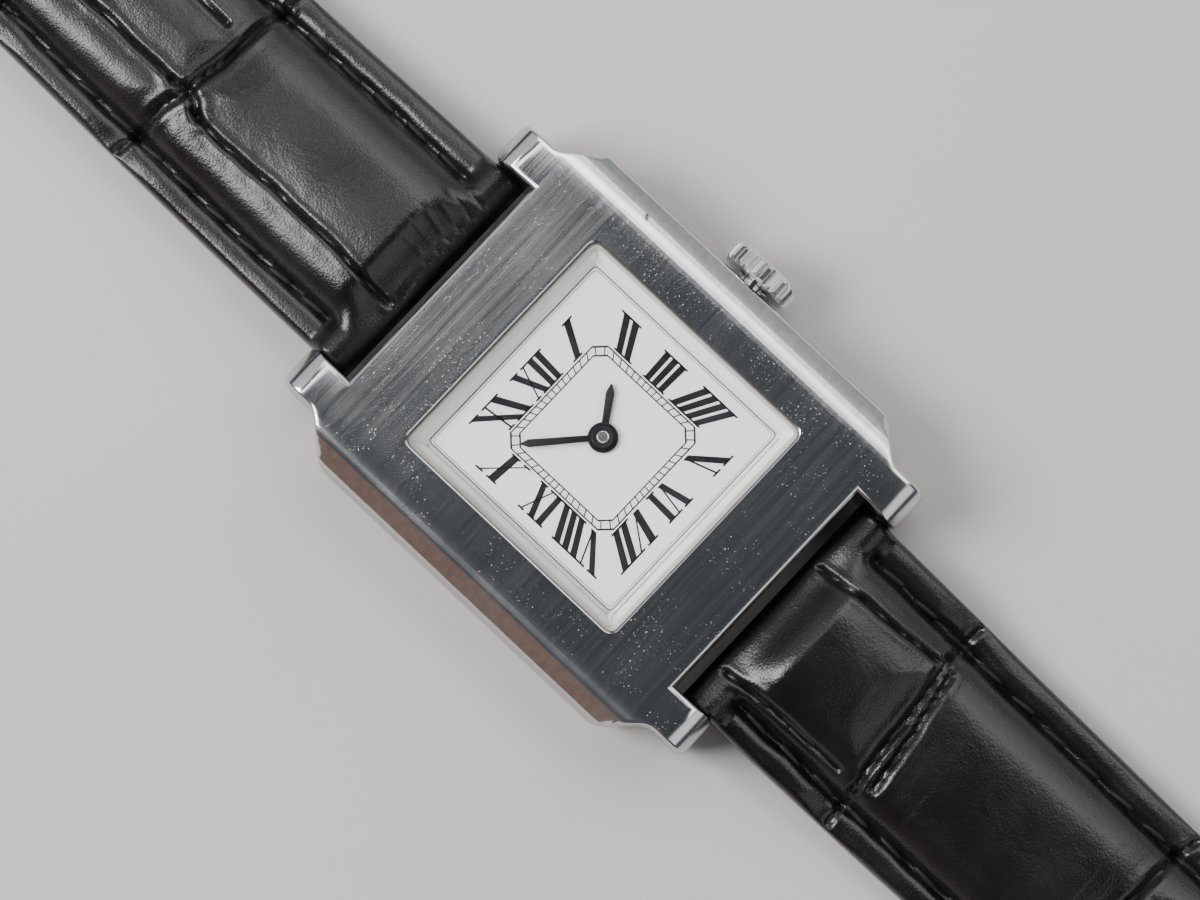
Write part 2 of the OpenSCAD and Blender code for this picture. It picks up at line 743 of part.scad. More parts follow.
module train_bridge() {
    color(steel_colour)
        difference() {
            intersection() {
                disc(centre_p, mov_r, bridge_z, bridge_t);
                slab(concat([split_line[0] - [plate_gap, 0], [-outside, outside], [-outside, -outside]],
                            [for (i = [2:-1:0]) train_line[i]],
                            [split_line[3] - [plate_gap, 0], split_line[2] - [plate_gap, plate_gap],
                             split_line[1] - [plate_gap, plate_gap]]),
                     bridge_z - cut, bridge_t + 2 * cut);
            }
            disc(centre_p, arbor_r + run_gap, bridge_z - cut, bridge_t + 2 * cut);
            for (p = [third_p, fourth_p, escape_p])
                disc(p, jewel_r + seat_gap, bridge_z - cut, bridge_t + 2 * cut);
            screw_holes(train_bosses);
        }
}

module balance_cock() {
    foot = polar(cock_boss[0], cock_boss[1]);
    side = 1.1;
    a = angle_to(foot, balance_p);
    color(steel_colour)
        difference() {
            intersection() {
                disc(centre_p, mov_r, bridge_z, bridge_t);
                slab([foot + polar(side, a - 90), balance_p + polar(side * 0.7, a - 90),
                      balance_p + polar(side, a - 45), balance_p + polar(side, a + 45),
                      balance_p + polar(side * 0.7, a + 90), foot + polar(side, a + 90),
                      foot + polar(2, a + 180)],
                     bridge_z - cut, bridge_t + 2 * cut);
            }
            disc(balance_p, jewel_r + seat_gap, bridge_z - cut, bridge_t + 2 * cut);
            screw_holes([cock_boss]);
        }
}

module pallet_cock() {
    a = angle_to(pallet_boss, pallet_p);
    side = 0.5;
    color(steel_colour)
        difference() {
            slab([pallet_boss + polar(side, a - 135), pallet_boss + polar(side, a - 90),
                  pallet_p + polar(side, a - 90), pallet_p + polar(side, a),
                  pallet_p + polar(side, a + 90), pallet_boss + polar(side, a + 90),
                  pallet_boss + polar(side, a + 135)],
                 pallet_cock_z, pallet_cock_t);
            disc(pallet_p, pivot_r + run_gap, pallet_cock_z - cut, pallet_cock_t + 2 * cut);
        }
}

module bridge_screws() {
    color(steel_colour)
        for (b = concat(barrel_bosses, train_bosses, [cock_boss])) {
            p = polar(b[0], b[1]);
            difference() {
                union() {
                    disc(p, screw_head_r, bridge_z - screw_head_h, screw_head_h);
                    disc(p, screw_r, bridge_z - screw_head_h / 2, bridge_t + screw_depth);
                }
                translate([p[0] - 1, p[1] - 0.06, bridge_z - screw_head_h - cut])
                    cube([2, 0.12, cut + 0.12]);
            }
        }
}

module jewel(p, z0, t, hole) {
    difference() {
        disc(p, jewel_r, z0, t);
        disc(p, hole, z0 - cut, t + 2 * cut);
    }
}

module jewels() {
    jewel_t = 0.3;
    color(ruby_colour) {
        for (p = jewelled)
            jewel(p, plate_z + 0.1, jewel_t, pivot_r + run_gap);
        for (p = [third_p, fourth_p, escape_p, balance_p])
            jewel(p, bridge_top - 0.1 - jewel_t, jewel_t, pivot_r + run_gap);
    }
}

// Wire spring that presses the click into the ratchet wheel
module click_spring() {
    wire = 0.18;
    start = click_p + polar(0.75, 60);
    color(steel_colour)
        slab([start + [0, 0], start + [2.4, 0.9], start + [2.4, 0.9 + wire], start + [0, wire]],
             bridge_z - 0.2, 0.2);
}

// Pencil-shaped hand: it widens from its hub and ends in a short point
module hand(length, width, hole, hub, z0, angle) {
    base_w = width * 0.75;
    tip_w = width * 0.15;
    point_l = width;
    color([0.04, 0.04, 0.05])
        difference() {
            union() {
                disc(centre_p, hub, z0, hand_t);
                rotate([0, 0, angle])
                    slab([[-base_w / 2, 0], [base_w / 2, 0], [width / 2, length - point_l],
                          [tip_w / 2, length], [-tip_w / 2, length], [-width / 2, length - point_l]],
                         z0, hand_t);
            }
            disc(centre_p, hole, z0 - cut, hand_t + 2 * cut);
        }
}

module hour_hand() {
    hand(hour_l, hour_w, hour_pipe_r + seat_gap, hub_r, hour_hand_z, hour_angle);
}

module minute_hand() {
    hand(minute_l, minute_w, cannon_r + seat_gap, hub_r * 0.75, minute_hand_z, minute_angle);
}

module cannon_pinion() {
    color(steel_colour)
        difference() {
            union() {
                toothed(centre_p, cannon_n, motion_m, cannon_phase, minute_wheel_z, motion_t, cannon_r - 0.02);
                disc(centre_p, cannon_r, minute_wheel_z, minute_hand_z + hand_t + 0.08 - minute_wheel_z);
            }
            disc(centre_p, centre_arbor_r + run_gap, minute_wheel_z - cut, dial_z);
        }
}

module hour_wheel() {
    phase = mesh_phase(minute_a + 180, minute_pinion_n, minute_pinion_phase, hour_n);
    color(brass_colour)
        difference() {
            union() {
                toothed(centre_p, hour_n, hour_m, phase, hour_wheel_z, motion_t, hour_pipe_r - 0.02);
                disc(centre_p, hour_pipe_r, hour_wheel_z, hour_hand_z + hand_t - hour_wheel_z);
            }
            disc(centre_p, cannon_r + run_gap, hour_wheel_z - cut, dial_z);
        }
}

module minute_wheel() {
    color(brass_colour) {
        toothed(minute_p, minute_n, motion_m, minute_phase, minute_wheel_z, motion_t, arbor_r + 0.01);
        toothed(minute_p, minute_pinion_n, hour_m, minute_pinion_phase,
                minute_wheel_z + motion_t, motion_t + 0.05, arbor_r + 0.01);
        disc(minute_p, arbor_r + 0.03, minute_wheel_z - 0.04, 2 * motion_t + 0.09);
    }
}

module setting_wheel() {
    phase = mesh_phase(setting_a, minute_n, minute_phase, setting_n);
    color(steel_colour) {
        toothed(setting_p, setting_n, motion_m, phase, minute_wheel_z, motion_t, arbor_r + 0.01);
        disc(setting_p, arbor_r + 0.03, minute_wheel_z - 0.04, motion_t + 0.04);
    }
}

module crown_seal() {
    section_r = (seal_r - tube_r) / 2 - seat_gap / 2;
    color([0.1, 0.1, 0.1])
        translate([crown_x + 0.3, 0, stem_z])
            rotate([0, 90, 0])
                rotate_extrude()
                    translate([(seal_r + tube_r) / 2, 0])
                        circle(r = section_r, $fn = 24);
}

// Fluted outline of the crown
function flute_points() = [
    for (i = [0:crown_flutes - 1])
        let (p = 360 / crown_flutes)
            for (k = [[0, 1], [0.12, 1], [0.3, 0], [0.7, 0], [0.88, 1]])
                polar(crown_r - flute_d * k[1], (i + k[0]) * p)
];

module crown() {
    dome = 0.25;
    color(steel_colour)
        difference() {
            intersection() {
                translate([crown_x, 0, stem_z])
                    rotate([90, 0, 90])
                        linear_extrude(crown_l)
                            polygon(flute_points());
                translate([crown_x, 0, stem_z])
                    rotate([0, 90, 0])
                        rotate_extrude()
                            polygon([[0, 0], [crown_r - 0.3, 0], [crown_r, 0.3], [crown_r, crown_l - 0.5],
                                     [crown_r - 0.35, crown_l - 0.15], [crown_r - 0.9, crown_l - 0.05], [0, crown_l]]);
            }
            rod_x(crown_x - cut, crown_x + crown_cavity, seal_r + seat_gap, 0, stem_z);
            rod_x(crown_x, crown_x + crown_cavity + dome, stem_r + seat_gap, 0, stem_z);
        }
}

module winding_stem() {
    color(steel_colour) {
        rod_x(groove_x + groove_w, crown_x + crown_cavity + 0.2, stem_r, 0, stem_z);
        rod_x(groove_x - 0.1, groove_x + groove_w + 0.1, groove_r, 0, stem_z);
        rod_x(clutch_x + clutch_l, groove_x, stem_r, 0, stem_z);
        translate([stem_square_x, -stem_square / 2, stem_z - stem_square / 2])
            cube([clutch_x + clutch_l - stem_square_x + 0.05, stem_square, stem_square]);
        rod_x(stem_square_x - stem_pilot_l, stem_square_x + 0.1, stem_square / 2 - 0.06, 0, stem_z);
    }
}

// Slides on the stem's square and turns with it
module clutch() {
    hole = stem_square + 2 * run_gap;
    color(steel_colour)
        translate([clutch_x, 0, stem_z])
            rotate([90, 0, 90])
                linear_extrude(clutch_l - 0.05)
                    difference() {
                        polygon(tooth_points(12, 2 * clutch_r / 13.6, 0));
                        square(hole, center = true);
                    }
}

module winding_pinion() {
    m = 2 * winding_r / (winding_n + 2 * addendum);
    color(steel_colour)
        difference() {
            translate([winding_x, 0, stem_z])
                rotate([90, 0, 90])
                    linear_extrude(winding_l)
                        polygon(tooth_points(winding_n, m, 0.5));
            rod_x(winding_x - cut, winding_x + winding_l + cut, stem_r + run_gap, 0, stem_z);
        }
}

module crown_wheel() {
    p = 360 / crown_wheel_n;
    color(steel_colour) {
        toothed(crown_wheel_p, crown_wheel_n, winding_m, crown_wheel_phase, keyless_z, keyless_t, arbor_r - bond);
        disc(crown_wheel_p, arbor_r, keyless_z, keyless_t + bridge_t);
        disc(crown_wheel_p, screw_head_r, keyless_z - keyless_screw_h, keyless_screw_h + bond);
        for (i = [0:crown_wheel_n - 1])
            slab([crown_wheel_p + polar(contrate_inner_r, (i - contrate_share) * p),
                  crown_wheel_p + polar(contrate_outer_r, (i - contrate_share) * p),
                  crown_wheel_p + polar(contrate_outer_r, (i + contrate_share) * p),
                  crown_wheel_p + polar(contrate_inner_r, (i + contrate_share) * p)],
                 keyless_z + keyless_t - bond, contrate_h + bond);
    }
}

module ratchet_wheel() {
    phase = mesh_phase(angle_to(crown_wheel_p, barrel_p), crown_wheel_n, crown_wheel_phase, ratchet_n);
    color(steel_colour)
        toothed(barrel_p, ratchet_n, winding_m, phase, keyless_z, keyless_t, barrel_pivot_r + 0.02);
}

module barrel_arbor() {
    color(steel_colour) {
        disc(barrel_p, barrel_pivot_r, keyless_z - keyless_screw_h, plate_z + plate_t * 0.8 - keyless_z + keyless_screw_h);
        disc(barrel_p, barrel_hook_r, barrel_z + barrel_wall + 0.05, barrel_h - 2 * barrel_wall - 0.1);
        disc(barrel_p, barrel_hook_r, keyless_z - keyless_screw_h, keyless_screw_h);
    }
}

module barrel_drum() {
    phase = mesh_phase(barrel_a, centre_pinion_n, centre_pinion_phase, barrel_n);
    inner_r = drum_r - barrel_wall;
    color(brass_colour)
        difference() {
            union() {
                toothed(barrel_p, barrel_n, barrel_m, phase, barrel_z, barrel_rim_t, inner_r);
                difference() {
                    disc(barrel_p, drum_r, barrel_z, barrel_h);
                    disc(barrel_p, inner_r, barrel_z + barrel_wall, barrel_h);
                }
            }
            disc(barrel_p, barrel_pivot_r + run_gap, barrel_z - cut, barrel_h);
        }
}

module barrel_cover() {
    color(brass_colour)
        difference() {
            disc(barrel_p, drum_r - barrel_wall - seat_gap, barrel_z + barrel_h - barrel_wall + 0.05, barrel_wall - 0.05);
            disc(barrel_p, barrel_pivot_r + run_gap, barrel_z, 2 * barrel_h);
        }
}

// Spiral strip as one outline: out along the inside edge and back along the outside edge
function spiral(r0, r1, turns, w, steps) = concat(
    [for (i = [0:steps]) polar(mix(r0, r1, i / steps) - w / 2, 360 * turns * i / steps)],
    [for (i = [steps:-1:0]) polar(mix(r0, r1, i / steps) + w / 2, 360 * turns * i / steps)]);

module mainspring() {
    color([0.55, 0.57, 0.6])
        translate([barrel_p[0], barrel_p[1], 0])
            slab(spiral(1.1, drum_r - barrel_wall - 0.15, 7, 0.12, 126),
                 barrel_z + barrel_wall + 0.05, barrel_h - 2 * barrel_wall - 0.1);
}

// Pawl whose tip rests near the ratchet teeth
module click() {
    a = angle_to(click_p, barrel_p);
    color(steel_colour) {
        slab([click_p + polar(0.45, a + 200), click_p + polar(0.45, a + 260), click_p + polar(0.6, a - 35),
              click_p + polar(0.55, a), click_p + polar(0.45, a + 60), click_p + polar(0.45, a + 130)],
             keyless_z, keyless_t);
        disc(click_p, arbor_r, keyless_z - 0.1, keyless_t + bridge_t);
    }
}

// Arbor with a thin pivot at each end
module arbor(p, r, z0, z1, low, high) {
    disc(p, r, z0, z1 - z0);
    disc(p, pivot_r, low, high - low);
}

module centre_wheel() {
    color(brass_colour) {
        toothed(centre_p, centre_n, centre_m, centre_phase, centre_z, wheel_t, centre_arbor_r + 0.1);
        toothed(centre_p, centre_pinion_n, barrel_m, centre_pinion_phase, barrel_z - 0.03,
                barrel_rim_t + 0.06, centre_arbor_r - 0.02);
        disc(centre_p, centre_arbor_r + 0.12, barrel_z + barrel_rim_t + 0.03, plate_z - shoulder_gap - barrel_z - barrel_rim_t - 0.03);
        disc(centre_p, centre_arbor_r, barrel_z - 0.03, minute_hand_z + hand_t - barrel_z + 0.03);
        disc(centre_p, arbor_r, train_low, 0.5);
    }
}

module train_wheel(p, n, m, phase, z0, pinion_n, pinion_m, pinion_phase, pinion_z, pinion_t) {
    color(brass_colour) {
        toothed(p, n, m, phase, z0, wheel_t, arbor_r - bond);
        toothed(p, pinion_n, pinion_m, pinion_phase, pinion_z, pinion_t, arbor_r - bond);
        arbor(p, arbor_r, bridge_top + shoulder_gap, plate_z - shoulder_gap, train_low, train_high);
    }
}

module third_wheel() {
    train_wheel(third_p, third_n, third_m, third_phase, third_z,
                third_pinion_n, centre_m, third_pinion_phase, centre_z - pinion_over, wheel_t + 2 * pinion_over);
}

module fourth_wheel() {
    train_wheel(fourth_p, fourth_n, fourth_m, fourth_phase, fourth_z,
                fourth_pinion_n, third_m, fourth_pinion_phase, third_z - pinion_over, wheel_t + 2 * pinion_over);
}

// Club-shaped teeth that lean forward
module escape_wheel() {
    p = 360 / escape_n;
    color(steel_colour) {
        translate([escape_p[0], escape_p[1], escape_z])
            linear_extrude(wheel_t)
                difference() {
                    polygon([for (i = [0:escape_n - 1])
                        for (k = [[0, -0.45], [0.12, 0], [0.24, -0.06], [0.34, -0.45]])
                            polar(escape_r + k[1], (i + k[0]) * p)]);
                    circle(r = arbor_r - 2 * bond, $fn = 12);
                }
        toothed(escape_p, escape_pinion_n, fourth_m, escape_pinion_phase, fourth_z - pinion_over,
                wheel_t + 2 * pinion_over, arbor_r - 2 * bond);
        arbor(escape_p, arbor_r - bond, bridge_top + shoulder_gap, plate_z - shoulder_gap, train_low, train_high);
    }
}

// Lever with two pallet arms and a forked end towards the balance
module pallet_fork() {
    arm = 1.15;
    half = 0.14;
    back = pallet_a + 180;
    lever = balance_d - 0.75;
    color(steel_colour) {
        difference() {
            union() {
                for (s = [-1, 1])
                    slab([pallet_p + polar(half, back + s * 125), pallet_p + polar(half, back + s * 10),
                          pallet_p + polar(arm - 0.1, back + s * 57), pallet_p + polar(arm, back + s * 66)],
                         fork_z, fork_t);
                slab([pallet_p + polar(half, balance_a - 90), pallet_p + polar(lever, balance_a - 8),
                      pallet_p + polar(lever - 0.25, balance_a), pallet_p + polar(lever, balance_a + 8),
                      pallet_p + polar(half, balance_a + 90)],
                     fork_z, fork_t);
                disc(pallet_p, half + 0.1, fork_z, fork_t);
            }
            disc(pallet_p, pivot_r, fork_z - cut, fork_t + 2 * cut);
        }
        disc(pallet_p, pivot_r, pallet_cock_z + 0.02, plate_z + 0.35 - pallet_cock_z);
    }
}

module balance_wheel() {
    rim = 0.35;
    spoke = 0.3;
    color(brass_colour) {
        difference() {
            disc(balance_p, balance_r, balance_z, balance_t);
            disc(balance_p, balance_r - rim, balance_z - cut, balance_t + 2 * cut);
        }
        translate([balance_p[0] - balance_r + rim / 2, balance_p[1] - spoke / 2, balance_z])
            cube([2 * balance_r - rim, spoke, balance_t]);
        disc(balance_p, arbor_r + 0.2, fork_z + fork_t + 0.08, 0.2);
        arbor(balance_p, arbor_r, bridge_top + shoulder_gap, plate_z - shoulder_gap, train_low, train_high);
    }
}

module hairspring() {
    color([0.35, 0.45, 0.7])
        translate([balance_p[0], balance_p[1], 0])
            slab(spiral(arbor_r + 0.06, balance_r * 0.5, 6, 0.06, 108), bridge_top + 0.08, 0.08);
}

// Turns as the crown is pulled, and carries the clutch to the setting wheel
module setting_lever() {
    p = setting_lever_p;
    color(steel_colour) {
        slab([p + [-0.5, -0.5], p + [0.5, -0.5], p + [0.55, 1.6], p + [0.1, 2.1], p + [-0.5, 1.6]],
             minute_wheel_z, motion_t);
        disc(p, arbor_r, plate_z + 0.2, minute_wheel_z + motion_t - plate_z - 0.2);
    }
}

// The strap halves are made pointing to +Y from their spring bar and then placed
module place_half(sign) {
    translate([0, sign * bar_y, 0])
        mirror([0, sign < 0 ? 1 : 0, 0])
            children();
}

function stations(from, to, count) = [for (i = [0:count]) mix(from, to, i / count)];

function half_stations(len, tip) = concat(
    stations(0, pad_rise_l, 4),
    stations(pad_rise_l + 2, len - max(tip, 1) - 2, 12),
    tip == 0 ? [len] : [for (i = [0:6]) len - tip + tip * sin(90 * i / 6)]);

module half_leather(len, tip, rest_z) {
    s_all = half_stations(len, tip);
    pad_s = stations(pad_rise_l * 0.6, pad_l, 12);
    fold_gap = bar_r + 0.05;
    difference() {
        union() {
            loft([for (s = s_all) section_ring(s, len, tip, rest_z, 0, lining_t, 0)]);
            rod_x(-strap_w / 2, strap_w / 2, fold_r, 0, bar_z);
        }
        rod_x(-strap_w, strap_w, fold_gap, 0, bar_z);
        loft([for (s = pad_s) section_ring(s, len, tip, rest_z, margin_w + 0.3, lining_t - cut, leather_t)]);
    }
}

module half_lining(len, tip, rest_z) {
    s_low = concat([fold_r * 0.8], [for (s = half_stations(len, tip)) if (s > fold_r) s]);
    profile = concat(
        [for (s = s_low) [s, under(s, rest_z)]],
        [for (i = [len(s_low) - 1:-1:0]) [s_low[i], under(s_low[i], rest_z) + lining_t]]);
    plan = concat(
        [for (s = s_low) [half_w(s, len, tip), s]],
        [for (i = [len(s_low) - 1:-1:0]) [-half_w(s_low[i], len, tip), s_low[i]]]);
    intersection() {
        prism_x(profile, -strap_w, strap_w);
        slab(plan, -1, case_h);
    }
}

module half_padding(len, tip, rest_z) {
    loft([for (s = stations(pad_rise_l * 0.6 + soft_gap, pad_l - soft_gap, 12))
        section_ring(s, len, tip, rest_z, margin_w + 0.3 + soft_gap, lining_t + soft_gap, leather_t + soft_gap)]);
}

module buckle_half_leather() {
    color(leather_colour)
        difference() {
            place_half(1)
                difference() {
                    union() {
                        half_leather(buckle_half_l, 0, buckle_rest_z);
                        rod_x(-strap_end_w / 2, strap_end_w / 2, fold_r, buckle_half_l, buckle_bar_z);
                    }
                    rod_x(-strap_w, strap_w, bar_r + 0.05, buckle_half_l, buckle_bar_z);
                    translate([-slot_w / 2, buckle_half_l - slot_l, -1])
                        cube([slot_w, 2 * slot_l, case_h]);
                }
        }
}

module buckle_half_lining() {
    color([0.2, 0.13, 0.09])
        place_half(1)
            difference() {
                half_lining(buckle_half_l - fold_r * 0.8, 0, buckle_rest_z);
                translate([-slot_w / 2, buckle_half_l - slot_l, -1])
                    cube([slot_w, 2 * slot_l, case_h]);
            }
}

module buckle_half_padding() {
    color([0.7, 0.65, 0.55])
        place_half(1)
            half_padding(buckle_half_l, 0, buckle_rest_z);
}

module buckle_holes() {
    for (i = [0:hole_count - 1])
        translate([0, tail_half_l - hole_start - i * hole_pitch, -1])
            cylinder(h = case_h + 2, r = hole_r);
}

module tail_half_leather() {
    color(leather_colour)
        place_half(-1)
            difference() {
                half_leather(tail_half_l, tip_l, tail_rest_z);
                buckle_holes();
            }
}

module tail_half_lining() {
    color([0.2, 0.13, 0.09])
        place_half(-1)
            difference() {
                half_lining(tail_half_l, tip_l, tail_rest_z);
                buckle_holes();
            }
}

module tail_half_padding() {
    color([0.7, 0.65, 0.55])
        place_half(-1)
            half_padding(tail_half_l, tip_l, tail_rest_z);
}

module keeper(y) {
    inner_w = mix(strap_w, strap_end_w, 0.9) + 4 * soft_gap;
    translate([0, y - keeper_w / 2, 0])
        rotate([90, 0, 0])
            mirror([0, 0, 1])
                linear_extrude(keeper_w)
                    difference() {
                        translate([0, (keeper_h + 2 * keeper_t) / 2])
                            polygon(round_rect(inner_w + 2 * keeper_t, keeper_h + 2 * keeper_t, keeper_outside_r));
                        translate([0, keeper_t + keeper_h / 2])
                            polygon(round_rect(inner_w, keeper_h, keeper_inside_r));
                    }
}

module fixed_keeper() {
    color(leather_colour)
        keeper(buckle_y - fixed_keeper_s);
}

module loose_keeper() {
    color(leather_colour)
        keeper(buckle_y - loose_keeper_s);
}

// Side profile of the buckle's arms: round the bar, then down to the front bar on the table
function buckle_profile() = concat(
    [for (a = [90:30:270]) [buckle_y + buckle_h / 2 * cos(a), buckle_bar_z + buckle_h / 2 * sin(a)]],
    [[buckle_y + buckle_l * 0.6, 0.3], [buckle_y + buckle_l - 1, 0], [buckle_y + buckle_l, 0.4],
     [buckle_y + buckle_l, buckle_h - 0.6], [buckle_y + buckle_l - 0.5, buckle_h - 0.1],
     [buckle_y + buckle_l * 0.7, buckle_h + 0.25]]);

module buckle_frame() {
    color(steel_colour)
        difference() {
            prism_x(buckle_profile(), -buckle_in_w / 2 - buckle_t, buckle_in_w / 2 + buckle_t);
            translate([-buckle_in_w / 2, buckle_y - buckle_h, -1])
                cube([buckle_in_w, buckle_h + buckle_l - front_bar_l, case_h]);
            // Seat for the tongue's tip
            translate([-tongue_w / 2 - 0.15, buckle_y, tongue_rest_z - 0.06])
                cube([tongue_w + 0.3, 2 * buckle_l, case_h]);
            rod_x(-buckle_in_w / 2 - pin_l - 0.1, buckle_in_w / 2 + pin_l + 0.1, pin_r + run_gap,
                  buckle_y, buckle_bar_z);
        }
}

module buckle_tongue() {
    ring_r = bar_r + run_gap + 0.5;
    color(steel_colour)
        difference() {
            union() {
                rod_x(-tongue_w / 2, tongue_w / 2, ring_r, buckle_y, buckle_bar_z);
                prism_x([[buckle_y, buckle_bar_z - tongue_t / 2],
                         [buckle_y + buckle_l - front_bar_l - 0.3, tongue_rest_z],
                         [buckle_y + buckle_l + 0.2, tongue_rest_z],
                         [buckle_y + buckle_l + 0.2, tongue_rest_z + tongue_t * 0.7],
                         [buckle_y + buckle_l - front_bar_l - 0.3, tongue_rest_z + tongue_t],
                         [buckle_y, buckle_bar_z + tongue_t / 2]],
                        -tongue_w / 2, tongue_w / 2);
            }
            rod_x(-tongue_w, tongue_w, bar_r + run_gap, buckle_y, buckle_bar_z);
        }
}

module buckle_bar() {
    color(steel_colour)
        spring_bar(buckle_in_w, buckle_y, buckle_bar_z);
}

case_body();
case_back();
back_gasket();
crystal();
crystal_gasket();
rehaut();
dial();
crown_tube();
lug_spring_bars();
movement_holder();
mainplate();
barrel_bridge();
train_bridge();
balance_cock();
pallet_cock();
bridge_screws();
jewels();
click_spring();
minute_hand();
cannon_pinion();
hour_hand();
hour_wheel();
minute_wheel();
setting_wheel();
crown_seal();
crown();
winding_stem();
clutch();
winding_pinion();
crown_wheel();
ratchet_wheel();
barrel_arbor();
barrel_drum();
barrel_cover();
mainspring();
click();
centre_wheel();
third_wheel();
fourth_wheel();
escape_wheel();
pallet_fork();
balance_wheel();
hairspring();
setting_lever();
buckle_half_leather();
buckle_half_lining();
buckle_half_padding();
fixed_keeper();
loose_keeper();
tail_half_leather();
tail_half_lining();
tail_half_padding();
buckle_frame();
buckle_tongue();
buckle_bar();
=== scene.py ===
import json
import math
from collections import namedtuple

import bmesh
import bpy
import numpy as np
from mathutils import Matrix, Vector


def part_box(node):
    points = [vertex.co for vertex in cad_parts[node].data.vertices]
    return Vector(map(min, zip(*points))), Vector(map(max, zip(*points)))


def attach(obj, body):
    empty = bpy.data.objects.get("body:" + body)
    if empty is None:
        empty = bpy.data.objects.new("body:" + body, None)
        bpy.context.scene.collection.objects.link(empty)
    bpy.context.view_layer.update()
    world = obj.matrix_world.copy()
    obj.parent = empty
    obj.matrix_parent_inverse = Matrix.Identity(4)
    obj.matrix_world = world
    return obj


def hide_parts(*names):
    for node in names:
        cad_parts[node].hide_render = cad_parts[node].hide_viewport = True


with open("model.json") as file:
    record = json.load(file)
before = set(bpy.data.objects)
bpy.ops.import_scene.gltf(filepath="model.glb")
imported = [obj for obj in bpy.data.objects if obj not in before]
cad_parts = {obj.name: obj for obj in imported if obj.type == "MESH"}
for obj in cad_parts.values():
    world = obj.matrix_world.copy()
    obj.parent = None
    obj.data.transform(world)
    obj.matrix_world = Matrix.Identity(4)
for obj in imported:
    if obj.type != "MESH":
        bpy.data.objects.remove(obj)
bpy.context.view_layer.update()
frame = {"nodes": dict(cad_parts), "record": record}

NODES = frame["nodes"]
MM = 0.001

# ---- sizes shared with the CAD, in mm
CASE_W, CASE_H, LEAN = 29.4, 7.3, 0.4
BACK_T, CAVITY_W, CAVITY_L, CAVITY_TOP = 0.9, 22.6, 24.8, 5.8
LUG_SPAN, LUG_L, LUG_GAP, LUG_W, SHOULDER_L, TIP_SLOPE = 37.2, 3.5, 18.0, 3.1, 4.0, 1.9
CASE_L = LUG_SPAN - 2 * LUG_L
OPENING_W, OPENING_L = 18.8, 19.2
STEM_Z, TUBE_R = 3.1, 0.97
BAR_Y, BAR_Z, BAR_R, PIN_R, PIN_L = LUG_SPAN / 2 - 1.3, 3.3, 0.75, 0.43, 0.85
DIAL_TOP = 5.65
HOUR_Z, MINUTE_Z, HAND_T = 5.85, 6.07, 0.12
FOLD_R, STRAP_W, STRAP_END_W, STRAP_T, STRAP_END_T = 1.5, 17.9, 16.0, 4.6, 2.6
MARGIN_T, MARGIN_W, LINING_T, LEATHER_T = 2.1, 2.3, 0.5, 0.7
BUCKLE_LEN, TAIL_LEN, TIP_L = 75.0, 115.0, 9.0
BUCKLE_BAR_Z = 2.5
FRAME_L, FRAME_T, FRAME_H, FRAME_IN_W, FRONT_BAR_L, TONGUE_W = 10.5, 1.7, 2.4, 17.0, 1.9, 1.7
KEEPER_W, KEEPER_T, KEEPER_H, FIXED_KEEPER_BACK, LOOSE_KEEPER_BACK = 5.0, 0.95, 5.6, 7, 17
HOLES, HOLE_R, HOLE_STEP, FIRST_HOLE, SLOT_W, SLOT_L = 7, 0.9, 6.5, 22, 2.5, 8

# ---- sizes of the strap's finer detail, in mm
SEAM, SEAM_START, SEAM_STOP, CHANNEL_STOP = 2.15, 2.0, 5.6, 5.25
STITCH_PITCH, STITCH_HALF, THREAD_R = 3.1, 1.18, 0.23
EDGE_R, WRAP_L, BAR_ROOM = 0.55, 1.2, 0.05
HOLLOW_START, HOLLOW_END, PAD_START, PAD_END = 2.2, 45.8, 3.4, 44.6


